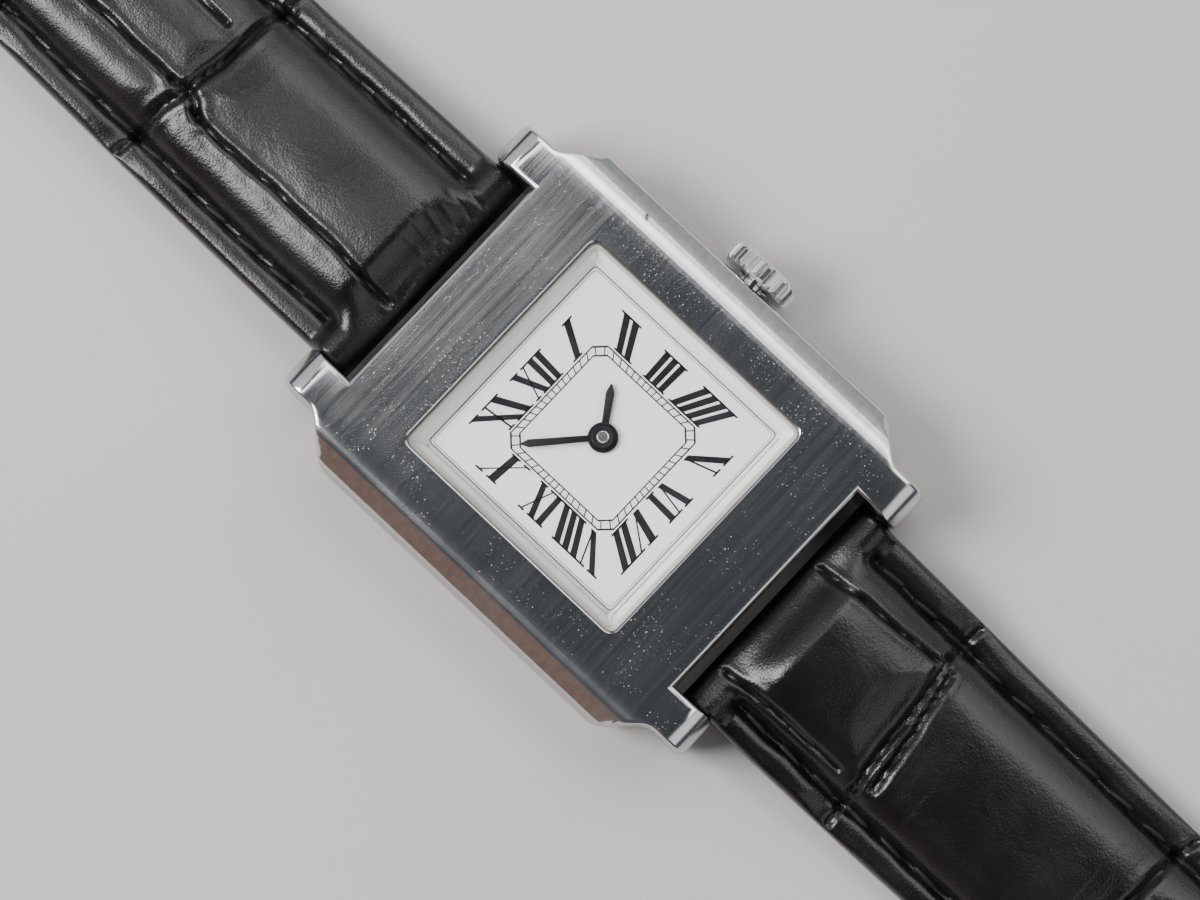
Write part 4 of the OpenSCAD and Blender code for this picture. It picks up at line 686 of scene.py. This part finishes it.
def dial_print():
    """Numerals on their four sides, the minute track and two grey border lines that paint the shade of a
    groove at the dial's edge, as thin plates.
    """
    words = ["XII", "I", "II", "III", "IIII", "V", "VI", "VII", "VIII", "IX", "X", "XI"]
    feet, heads, print_t = 5.0, 7.25, 0.012
    track_out, track_in, cut_out, cut_in = 4.84, 4.36, 0.78, 0.7
    plates = []
    for hour, word in enumerate(words):
        at = (hour + 1) % 12 - 1
        side = (at + 1) // 3
        lean = math.radians((at - side * 3) * 30)
        squeeze = (1.0 if len(word) < 4 else 0.93) * (1.0 if hour % 3 == 0 else 1.2)
        turn = -side * math.pi / 2
        c, s = math.cos(turn), math.sin(turn)
        for stroke in numeral(word):
            corners = []
            for u, v in stroke:
                out = mix(feet, heads, v)
                across = out * math.tan(lean) * 0.985 + u * squeeze * (0.9 + 0.1 * v)
                corners.append((across * c - out * s, across * s + out * c))
            plates.append(corners)

    def reach(angle, half, corner):
        c, s = abs(math.cos(angle)), abs(math.sin(angle))
        return min(half / max(c, 1e-9), half / max(s, 1e-9), (2 * half - corner) / (c + s))

    def track(half, corner, line):
        a = half - corner
        points = [(half, -a), (half, a), (a, half), (-a, half), (-half, a), (-half, -a),
                  (-a, -half), (a, -half)]
        scale = (half - line) / half
        for p, q in zip(points, points[1:] + points[:1]):
            plates.append([p, q, (q[0] * scale, q[1] * scale), (p[0] * scale, p[1] * scale)])

    track(track_out, cut_out, 0.1)
    track(track_in, cut_in, 0.09)
    half_line = 0.042
    for minute in range(60):
        angle = math.radians(6 * minute + 0.001)
        near, far = reach(angle, track_in - 0.03, cut_in), reach(angle, track_out - 0.05, cut_out)
        c, s, w = math.cos(angle), math.sin(angle), half_line
        plates.append([(near * c - w * s, near * s + w * c), (near * c + w * s, near * s - w * c),
                       (far * c + w * s, far * s - w * c), (far * c - w * s, far * s + w * c)])
    # The two grey border lines are painted shade, standing in for the shaded groove at the foot of the rehaut.
    rims = []
    for half_w, half_l, line in ((8.29, 8.49, 0.09), (8.1, 8.3, 0.045)):
        outer = round_rect(2 * half_w, 2 * half_l, 0.35)
        inner = round_rect(2 * (half_w - line), 2 * (half_l - line), 0.35 - line)
        rims += [list(corners) for corners in
                 zip(outer, outer[1:] + outer[:1], inner[1:] + inner[:1], inner)]
    for name, outlines, ink in (("dial_print", plates, "dial_ink"), ("dial_border", rims, "groove_shade_grey")):
        place(name, polygon_plates(name, outlines, DIAL_TOP, print_t), ink, "case")


def hand(name, body, node, length, width, hub, hole, z, degrees):
    """Pencil-shaped hand with a stepped hub, its edges eased."""
    base, point, end_w = width * 0.75, width, width * 0.09
    turn, count = math.radians(degrees), 64
    c, s = math.cos(turn), math.sin(turn)
    blade = [(-base / 2, 0.2), (base / 2, 0.2), (width / 2, length - point), (end_w, length),
             (-end_w, length), (-width / 2, length - point)]
    blade = [(x * c - y * s, x * s + y * c) for x, y in blade]
    step, top = z + HAND_T * 0.8, z + HAND_T
    section = [(hole, z), (hub, z), (hub, step), (hub - 0.06, top), (hub * 0.72, top), (hub * 0.68, step),
               (hub * 0.62, step), (hub * 0.58, top), (hole, top)]
    rings = []
    for k in range(count):
        a = 2 * math.pi * k / count
        rings.append([(r * math.cos(a), r * math.sin(a), h) for r, h in section])
    disc = looped(name, rings)
    bore = prism("bore", ring_of(hub * 0.8), z - 1, z + 1)
    arm = prism(name, blade, z + HAND_T * 0.1, z + HAND_T * 0.9)
    arm = modified(arm, [bore], bevel=0.02, segments=2, angle=40)
    bm = bmesh.new()
    bm.from_mesh(disc)
    bm.from_mesh(arm)
    bm.to_mesh(disc)
    bm.free()
    place(name, disc, "hand_black", body, [node], smooth=40)


# ---- strap
def under(s, rest):
    """Height of a half's underside: from the spring bar down to where the half lies."""
    return mix(BAR_Z - FOLD_R, rest, smooth_step((s - 1) / 15))


def thick(s):
    early = mix(2 * FOLD_R, STRAP_T, smooth_step((s + 0.4) / 3.2))
    late = mix(STRAP_T, STRAP_END_T, smooth_step((s - 3.5) / 64))
    return np.where(s < 3.5, early, late)


def full_width(s):
    """Half of the strap's width at s, before a tip rounds it."""
    return mix(STRAP_W, STRAP_END_W, smooth_step(s / (BUCKLE_LEN * 0.8))) / 2


def tip_part(s, half):
    """0 where a rounded tip begins, 1 at its end."""
    return np.clip((s - half.length + half.tip) / half.tip, 0, 1) if half.tip else 0.0


def half_width(s, half):
    return full_width(s) * np.sqrt(np.maximum(0.02, 1 - tip_part(s, half) ** 2))


def rim_gap(s, x, half):
    """Distance from (s, x) to the strap's outline, and the strap's half width before its rounded end."""
    full = full_width(s)
    return full * (1 - np.sqrt(tip_part(s, half) ** 2 + (x / full) ** 2)), full


def distances(points):
    """Distance walked along a polyline up to each of its points."""
    return np.r_[0, np.cumsum(np.hypot(*np.diff(points, axis=0).T))]


def wander(points, amount, seed):
    """A polyline resampled finely, with its points moved a little to the side."""
    points = np.asarray(points, float)
    lengths = distances(points)
    at = np.linspace(0, lengths[-1], max(3, int(lengths[-1] / 0.7)))
    line = np.stack([np.interp(at, lengths, points[:, k]) for k in (0, 1)], 1)
    line[:, 0] += amount * value_noise(at / 1.9, at * 0 + 3.3, seed)
    line[:, 1] += amount * value_noise(at / 1.9, at * 0 + 8.1, seed + 1)
    return line


def distance_to(s, x, line):
    """Distance of every point (s, x) from a polyline, exact within 3 mm of it."""
    best = np.full(s.shape, 1e9)
    for (s0, x0), (s1, x1) in zip(line[:-1], line[1:]):
        near = (s > min(s0, s1) - 3) & (s < max(s0, s1) + 3)
        if not near.any():
            continue
        ds, dx = s1 - s0, x1 - x0
        t = np.clip(((s[near] - s0) * ds + (x[near] - x0) * dx) / (ds * ds + dx * dx + 1e-12), 0, 1)
        d = np.hypot(s[near] - s0 - t * ds, x[near] - x0 - t * dx)
        best[near] = np.minimum(best[near], d)
    return best


def plain(*creases):
    """Creases across the strap, from where they lie at the left, in the middle and at the right."""
    return [[(left, -x), (middle, 0), (right, x)] for left, middle, right, x in creases]


# Scale pattern of each half: (from, to, grooves along it), and the creases between rows
BUCKLE_ROWS = [
    (-0.4, 18.4, [(-3.3, -3.0)]), (21.2, 33.0, [(-2.3, -2.0), (3.4, 3.0)]),
    (34.2, 44.5, [(-4.3, -3.9), (0.8, 0.5)]), (45.7, 54.0, [(-2.6, -2.9), (2.9, 3.3)]),
    (55.2, 62.4, [(-4.0, -3.8), (0.4, 0.2), (4.2, 4.0)]), (63.4, 69.4, [(-1.9, -2.2), (2.6, 2.8)]),
]
BUCKLE_CREASES = [
    [(20.4, -6.3), (19.6, 0.8), (19.0, 6.4)], [(18.2, -3.2), (19.4, -2.0), (20.9, -2.3)],
    *plain((33.7, 33.3, 34.0, 6.2)), [(45.2, -6.0), (44.8, 1), (45.4, 6.0)],
    *plain((54.5, 54.9, 54.3, 6.0), (62.9, 62.6, 63.2, 5.9), (69.9, 69.6, 70.2, 5.8)),
]
TAIL_ROWS = [
    (-0.6, 9.6, [(-5.7, -5.4), (3.5, 4.7)]), (12.2, 29.6, []), (31.4, 41.2, [(-3.7, -3.4), (2.1, 2.6)]),
    (42.5, 51.0, [(-0.9, -0.6), (4.4, 4.1)]), (52.3, 60.0, [(-3.4, -3.2), (1.9, 2.1)]),
    (61.2, 68.6, [(-0.8, -0.9), (4.0, 3.9)]), (69.8, 76.6, [(-3.0, -3.1), (1.8, 1.6)]),
    (77.8, 84.4, [(-0.6, -0.7), (3.7, 3.7)]), (85.6, 92.0, [(-3.0, -2.9), (1.5, 1.6)]),
    (93.2, 99.4, [(-0.4, -0.5), (3.6, 3.5)]), (100.6, 106.5, []),
]
TAIL_CREASES = [
    [(11.3, -5.9), (10.6, 0), (10.0, 5.4)], [(12.1, -4.8), (11.7, 0), (11.0, 4.6)],
    *plain((30.9, 30.2, 30.6, 6.2), (41.7, 42.0, 41.6, 6.1), (51.7, 51.5, 52.0, 6.0), (60.6, 60.8, 60.4, 6.0),
           (69.2, 69.0, 69.4, 5.9), (77.2, 77.3, 77.0, 5.9), (85.0, 84.9, 85.2, 5.9), (92.6, 92.7, 92.4, 5.9),
           (100.0, 99.9, 100.2, 5.8)),
]


Half = namedtuple("Half", "name sign length tip rest rows creases seed")
HALVES = (Half("buckle", 1, BUCKLE_LEN, 0, 1.0, BUCKLE_ROWS, BUCKLE_CREASES, 11),
          Half("tail", -1, TAIL_LEN, TIP_L, 0.0, TAIL_ROWS, TAIL_CREASES, 29))


def scale_relief(s, x, half):
    """Height of the embossed scales over the smooth pad, in mm."""
    seed = half.seed
    ws = s + 0.22 * value_noise(s / 4.2, x / 4.2, seed) + 0.05 * value_noise(s / 1.1, x / 1.1, seed + 1)
    wx = x + 0.2 * value_noise(s / 5.0, x / 3.2, seed + 2) + 0.04 * value_noise(s / 1.3, x / 1.0, seed + 3)
    height = np.zeros(s.shape)
    nearest = np.full(s.shape, 1e9)
    grooves = []
    for k, line in enumerate(half.creases):
        grooves.append((wander(line, 0.16, seed + 40 + k), 0.42, 0.3))
        for at, x0 in (line[0], line[-1]):
            if abs(x0) > 5:
                side = math.copysign(1, x0)
                grooves.append((wander([(at, x0), (at + 0.5, side * 9.4)], 0.1, seed + 60 + k), 0.26, 0.22))
    for k, (start, end, columns) in enumerate(half.rows):
        for j, (x0, x1) in enumerate(columns):
            line = [(start, x0), (mix(start, end, 0.4), mix(x0, x1, 0.45) + 0.12), (end, x1)]
            grooves.append((wander(line, 0.08, seed + 70 + 5 * k + j), 0.36, 0.2))
    for line, deep, wide in grooves:
        d = distance_to(ws, wx, line)
        nearest = np.minimum(nearest, d)
        height -= deep * np.exp(-(d / wide) ** 2)
        height += deep * 0.16 * np.exp(-((d - 2.4 * wide) / (1.1 * wide)) ** 2)
    height += 0.3 * (1 - np.exp(-(nearest / 2.0) ** 2)) - 0.22
    height += 0.03 * value_noise(s / 0.9, x / 0.55, seed + 4) * np.exp(-(nearest / 0.9) ** 2)
    broad, fine = value_noise(s / 2.9, x / 2.1, seed + 5), value_noise(s / 0.6, x / 0.45, seed + 6)
    height += 0.03 * broad + 0.006 * fine
    return height


def pleats(s, x):
    """Short gathers where the 12 o'clock half leaves the bar."""
    depth = np.zeros(s.shape)
    for k in range(6):
        line = 0.6 + 1.08 * k + 0.12 * s + 0.06 * np.sin(2.1 * s + 1.7 * k)
        depth += np.exp(-((x - line) / 0.16) ** 2) * (0.7 + 0.3 * (k % 3) / 2)
    return depth * smooth_step((s + 0.9) / 0.7) * smooth_step((3.1 - s) / 1.6)


def strap_surface(s, x, half):
    """Height of the finished leather's outer face at (s, x)."""
    length, tip = half.length, half.tip
    gap, full = rim_gap(s, x, half)
    t = thick(s)
    edge_t = mix(t, np.minimum(MARGIN_T, t), smooth_step((s + 0.2) / 2.4))
    u = np.clip((full - gap) / (full - MARGIN_W), 0, 1)
    low = under(s, half.rest)
    fold = np.sqrt(np.maximum(0, FOLD_R ** 2 - np.minimum(s, 0) ** 2))
    top = np.where(s < 0, BAR_Z + fold, low + mix(t, edge_t, u ** 4.2))
    if not tip:
        wrap = BUCKLE_BAR_Z + np.sqrt(np.maximum(0, FOLD_R ** 2 - (s - length) ** 2))
        top = np.where(s > length, wrap, np.where(s > length - FOLD_R, np.maximum(top, wrap), top))

    fade = smooth_step((s + 1.4) / 1.2) * smooth_step((length - s) / 3.0)
    relief = scale_relief(s, x, half) * fade - (0 if tip else 0.1 * pleats(s, x))
    off = SEAM - gap - 0.1 * value_noise(s / 2.3, x * 0 + 5, half.seed + 10)
    sewn = smooth_step((s - 1.2) / 0.8) * (1 if tip else smooth_step(length - CHANNEL_STOP - s))
    pull = 0.5 + 0.5 * np.cos(2 * math.pi * (s - SEAM_START) / STITCH_PITCH)
    relief = relief - (0.34 + 0.13 * pull) * np.exp(-(off / 0.36) ** 2) * sewn
    swell = 0.1 * np.exp(-((off - 1.05) / 0.6) ** 2) * sewn
    relief = relief + swell * (1 + 0.25 * value_noise(s / 2.4, x * 0 + 2, half.seed + 11))

    roll = EDGE_R - np.sqrt(np.maximum(0, EDGE_R * EDGE_R - np.maximum(0, EDGE_R - gap) ** 2))
    top = top + relief * smooth_step(gap / 0.5) - roll
    lowest = np.minimum(low + LINING_T + 0.35, BAR_Z + fold * 0.4)
    ends = smooth_step((s + FOLD_R) / 0.3)
    return np.maximum(top, lowest) * ends + BAR_Z * (1 - ends)


def strap_floor(s, half):
    """Height of the leather's underside."""
    fold = BAR_Z - np.sqrt(np.maximum(0, FOLD_R ** 2 - s ** 2))
    low = np.where(s < WRAP_L, fold, under(s, half.rest) + LINING_T)
    if not half.tip:
        wrap = BUCKLE_BAR_Z - np.sqrt(np.maximum(0, FOLD_R ** 2 - (s - half.length) ** 2))
        low = np.where(s > half.length - WRAP_L, wrap, low)
    return low


def holes_for(half):
    """Cutters through a half: buckle holes in the tail, the tongue's slot in the buckle half."""
    if half.tip:
        outlines = [[(a, b + half.length - FIRST_HOLE - HOLE_STEP * k) for a, b in ring_of(HOLE_R, 40)]
                    for k in range(HOLES)]
    else:
        outlines = [[(a, b + half.length) for a, b in round_rect(SLOT_W, SLOT_L, 0.6)]]
    return [prism("hole", outline, -2, 9) for outline in outlines]


def place_half(half, part, mesh, material, hidden, smooth):
    """Moves a mesh made with s along +Y to its half's side of the case, and places it there."""
    if half.sign < 0:
        mesh.transform(Matrix.Diagonal((1, -1, 1, 1)))
        mesh.flip_normals()
    mesh.transform(Matrix.Translation((0, half.sign * BAR_Y, 0)))
    body = half.name + "_half"
    return place(half.name + part, mesh, material, body, [body + hidden] if hidden else (), smooth)


def end_stations(half):
    """Stations along the rounded tip, or round the buckle's bar."""
    if half.tip:
        return half.length - half.tip + half.tip * np.sin(np.linspace(0, math.pi / 2, 40))[1:]
    return half.length - FOLD_R * np.cos(np.linspace(0.0, math.pi * 0.98, 22))


def top_leather(half):
    """The embossed outer leather, folded round its bars and hollow over the padding."""
    s_head = -FOLD_R * np.cos(np.linspace(0.02, math.pi / 2, 9))
    s_main = np.arange(0.2, half.length - half.tip, 0.17)
    stations = np.unique(np.round(np.concatenate([s_head, s_main, end_stations(half)]), 4))
    across = np.linspace(-1, 1, 121)
    across = np.sign(across) * (1 - (1 - np.abs(across)) ** 1.15)
    ss, aa = np.meshgrid(stations, across, indexing="ij")
    xx = aa * half_width(ss, half)
    low, edge = strap_floor(stations, half), half_width(stations, half)
    top = np.maximum(strap_surface(ss, xx, half), low[:, None] + 0.05)
    hollow = smooth_step((stations - HOLLOW_START) / 0.8) * smooth_step((HOLLOW_END - stations) / 0.8)
    wall = np.maximum(edge - MARGIN_W - 0.45, 0.2 * edge)
    inside = np.linspace(1, -1, 13)
    rings = []
    for k, s in enumerate(stations):
        ceiling = np.interp(inside * wall[k], xx[k], top[k]) - LEATHER_T - 0.15
        ceiling = low[k] + np.maximum(0.0, ceiling - low[k]) * hollow[k]
        ring = [(x, s, z) for x, z in zip(xx[k], top[k])]
        ring += [(edge[k], s, low[k]), (wall[k], s, low[k])]
        ring += [(u * wall[k] * 0.995, s, z + 0.002) for u, z in zip(inside, ceiling)]
        rings.append(ring + [(-wall[k], s, low[k]), (-edge[k], s, low[k])])
    cutters = [rod(BAR_R + BAR_ROOM, 0, BAR_Z, -12, 12, 40)]
    if not half.tip:
        cutters.append(rod(BAR_R + BAR_ROOM, half.length, BUCKLE_BAR_Z, -12, 12, 40))
    mesh = modified(loft("top", rings), cutters + holes_for(half))
    piece = place_half(half, "_top_leather", mesh, "strap_leather", "_leather", 50)


def lining(half):
    """The thin leather under a half, its lower edges eased."""
    ease, length = 0.16, half.length
    end = [s for s in end_stations(half) if s < length - 1.1] if half.tip else [length - WRAP_L]
    stations = [np.linspace(WRAP_L, 16, 30), np.linspace(16, length - max(half.tip, WRAP_L), 60), end]
    rings = []
    for s in np.unique(np.concatenate(stations)):
        w, z = half_width(s, half), under(s, half.rest)
        right = [(w - ease, z), (w - 0.04, z + ease * 0.7), (w, z + ease * 1.6), (w, z + LINING_T - 0.01)]
        rings.append([(x, s, h) for x, h in right] + [(-x, s, h) for x, h in reversed(right)])
    mesh = modified(loft("lining", rings), holes_for(half))
    place_half(half, "_lining_leather", mesh, "lining_leather", "_lining", 40)


def padding(half):
    """The felt pad between a half's leather and its lining."""
    rings = []
    for s in np.linspace(PAD_START, PAD_END, 60):
        w = half_width(s, half) - MARGIN_W - 0.6
        z = under(s, half.rest) + LINING_T + 0.04
        xs = np.linspace(-w, w, 21)
        tops = strap_surface(np.full(21, s), xs, half) - LEATHER_T - 0.28
        taper = min(1.0, (s - PAD_START) / 3 + 0.25, (PAD_END - s) / 3 + 0.25)
        tops = z + np.maximum(0.15, (tops - z) * taper)
        rings.append([(a, s, b) for a, b in zip(xs, tops)] + [(w, s, z), (-w, s, z)])
    pad = place_half(half, "_pad", loft("pad", rings), "padding", "_padding", 50)


def seam_path(half):
    """Points (s, x) along one side's seam, from the case to the buckle or to the middle of the tip."""
    last = half.length - (half.tip or SEAM_STOP)
    s = np.arange(SEAM_START, last, 0.25)
    side = np.stack([s, full_width(s) - SEAM], 1)
    if not half.tip:
        return side
    end_w = STRAP_END_W / 2
    turn = np.linspace(0, math.pi / 2, 40)
    bend = np.stack([last + half.tip * (1 - SEAM / end_w) * np.sin(turn), (end_w - SEAM) * np.cos(turn)], 1)
    return np.concatenate([side, bend])


def stitches(half):
    """Waxed thread, one slightly slanted stitch after another along each side's seam."""
    points, faces = [], []
    rings, segments = 9, 8
    path = seam_path(half)
    walked = distances(path)
    along = np.linspace(-STITCH_HALF, STITCH_HALF, rings)
    radius = THREAD_R * np.sqrt(np.maximum(0.05, 1 - np.abs(along / 1.22) ** 6))
    for side in (-1, 1):
        for k in range(int(walked[-1] / STITCH_PITCH)):
            middle = STITCH_PITCH * (k + 0.5)
            mid_s = float(np.interp(middle, walked, path[:, 0]))
            sway = 0.08 * float(value_noise(np.array([mid_s / 1.7]), np.array([5.0]), half.seed + 10)[0])
            ss = np.interp(middle + along, walked, path[:, 0])
            xx = side * (np.interp(middle + along, walked, path[:, 1]) + sway + along * 0.10)
            zz = strap_surface(ss, xx, half) - 0.02 - 0.2 * np.abs(along / STITCH_HALF) ** 6
            start = len(points)
            for s, x, z, r in zip(ss, xx, zz, radius):
                for j in range(segments):
                    a = 2 * math.pi * j / segments
                    points.append((x + r * math.cos(a), s, z + r * 0.8 * math.sin(a)))
            faces += between(rings, segments, start)
            faces.append([start + j for j in range(segments)])
            faces.append([start + (rings - 1) * segments + j for j in range(segments - 1, -1, -1)])
    place_half(half, "_stitches", outward(mesh_of("stitches", points, faces)), "waxed_thread", None, 60)


def keeper(name, node, body, y):
    """Folded leather band with eased edges and two creased lines."""
    w = mix(STRAP_W, STRAP_END_W, 0.9) + 0.4 + 2 * KEEPER_T
    h, edge = KEEPER_H + 2 * KEEPER_T, KEEPER_W / 2
    outline = np.asarray(round_rect(w, h, 0.9, 10))
    closed = np.vstack([outline, outline[:1]])
    lengths = distances(closed)
    at = np.linspace(0, lengths[-1], 160, endpoint=False)
    path = np.stack([np.interp(at, lengths, closed[:, k]) for k in (0, 1)], 1)
    ahead = np.roll(path, -1, 0) - np.roll(path, 1, 0)
    normal = np.stack([ahead[:, 1], -ahead[:, 0]], 1) / np.hypot(*ahead.T)[:, None]
    crease = ((0, 0.3), (0.09, 0.09), (0.3, 0.0), (0.55, 0.0), (0.7, 0.1), (0.85, 0.0))
    section = [(-edge + a, b) for a, b in crease]
    section += [(a, 0.0) for a in (-1.0, -0.5, 0, 0.5, 1.0)]
    section += [(-a, b) for a, b in reversed(section[:6])]
    section += [(edge, KEEPER_T * 0.97), (-edge, KEEPER_T * 0.97)]
    rings = []
    for p, n in zip(path, normal):
        rings.append([(p[0] - n[0] * d, y + a, p[1] + h / 2 - n[1] * d) for a, d in section])
    place(name, looped(name, rings), "strap_leather", body, [node], smooth=40)


# ---- CAD pieces that keep their shape
def buckle():
    """The pin buckle's frame with rounded edges, cut for its bar and for the tongue's tip."""
    y, z, h, half = BAR_Y + BUCKLE_LEN, BUCKLE_BAR_Z, FRAME_H, FRAME_IN_W / 2
    side = [(y + h / 2 * math.cos(a), z + h / 2 * math.sin(a)) for a in np.radians(np.arange(90, 271, 15))]
    side += [(y + FRAME_L * 0.6, 0.3), (y + FRAME_L - 1, 0), (y + FRAME_L, 0.4), (y + FRAME_L, h - 0.6),
             (y + FRAME_L - 0.5, h - 0.1), (y + FRAME_L * 0.7, h + 0.25)]
    window = prism("window", oblong(half, y - h, y + FRAME_L - FRONT_BAR_L), -1, 9)
    mesh = modified(prism("buckle", side, -half - FRAME_T, half + FRAME_T, "x"), [window])
    mesh = modified(mesh, bevel=0.3, segments=4, angle=20)
    seat = prism("seat", oblong(TONGUE_W / 2 + 0.15, y, y + 2 * FRAME_L), h - 0.41, 9)
    reach = half + PIN_L + 0.1
    mesh = modified(mesh, [seat, rod(PIN_R, y, z, -reach, reach, 32)])
    place("buckle_frame_piece", mesh, "polished_steel", "buckle", ["buckle_frame"], smooth=35)


def wheel_brass(name):
    """Gilt wheel on a steel arbor: steel within a millimetre of the wheel's own axis."""
    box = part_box(name)
    axis = [(box[0][k] + box[1][k]) / 2 for k in (0, 1)]
    s = Shader(name + "_gilt")
    place_xy = s.node("ShaderNodeSeparateXYZ")
    s.link(s.coords.outputs["Object"], place_xy.inputs[0])
    dx, dy = [s.math("SUBTRACT", place_xy.outputs[k], axis[k]) for k in (0, 1)]
    far = s.math("SQRT", s.add(s.times(dx, dx), s.times(dy, dy)), 0.0)
    gilt = s.range(far, 0.00098, 0.00102)
    fine = s.noise(6000, detail=3, stretch=(1, 0.1, 1))
    s.set(Base_Color=s.mix(gilt, (0.6, 0.61, 0.63), (0.82, 0.62, 0.3)), Metallic=1.0,
          Roughness=s.range(fine, 0.3, 0.7, 0.14, 0.24), Normal=s.bump(fine, 1.5e-6, 0.4))
    return s.mat


def dress_cad():
    """Gives every CAD piece its material, and eases the edges of those that show."""
    wheels = ("centre_wheel", "third_wheel", "fourth_wheel", "escape_wheel", "minute_wheel", "balance_wheel")
    slots = {row["node"]: row["material_slot"] for row in frame["record"]["subparts"]}
    slots.update(crown="crown_steel", cannon_pinion="crown_steel")
    eased = {"crown": 0.05, "case_back": 0.06, "buckle_tongue": 0.2, "cannon_pinion": 0.13,
             "crystal": 0.03, "lug_spring_bars": 0.05, "buckle_bar": 0.05}
    for name, obj in NODES.items():
        obj.data.materials.clear()
        obj.data.materials.append(wheel_brass(name) if name in wheels else M[slots[name]])
        if name in eased:
            weld = obj.modifiers.new("weld", "WELD")
            weld.merge_threshold = 1e-6
            ease_edges(obj, eased[name] * MM, 3, 25)


look()
studio()
floor()
dress_cad()
case_shell()
dial_print()
hour, minute = 1, 52
hand("hour_hand_piece", "hour", "hour_hand", length=3.7, width=0.6, hub=1.05, hole=0.72,
     z=HOUR_Z, degrees=-(hour + minute / 60) * 30)
hand("minute_hand_piece", "minute", "minute_hand", length=5.6, width=0.54, hub=0.7875, hole=0.44,
     z=MINUTE_Z, degrees=-minute * 6)
for strap_part in HALVES:
    top_leather(strap_part)
    lining(strap_part)
    padding(strap_part)
    stitches(strap_part)
keeper("fixed_keeper_band", "fixed_keeper", "buckle_half", BAR_Y + BUCKLE_LEN - FIXED_KEEPER_BACK)
keeper("loose_keeper_band", "loose_keeper", "loose_keeper", BAR_Y + BUCKLE_LEN - LOOSE_KEEPER_BACK)
buckle()
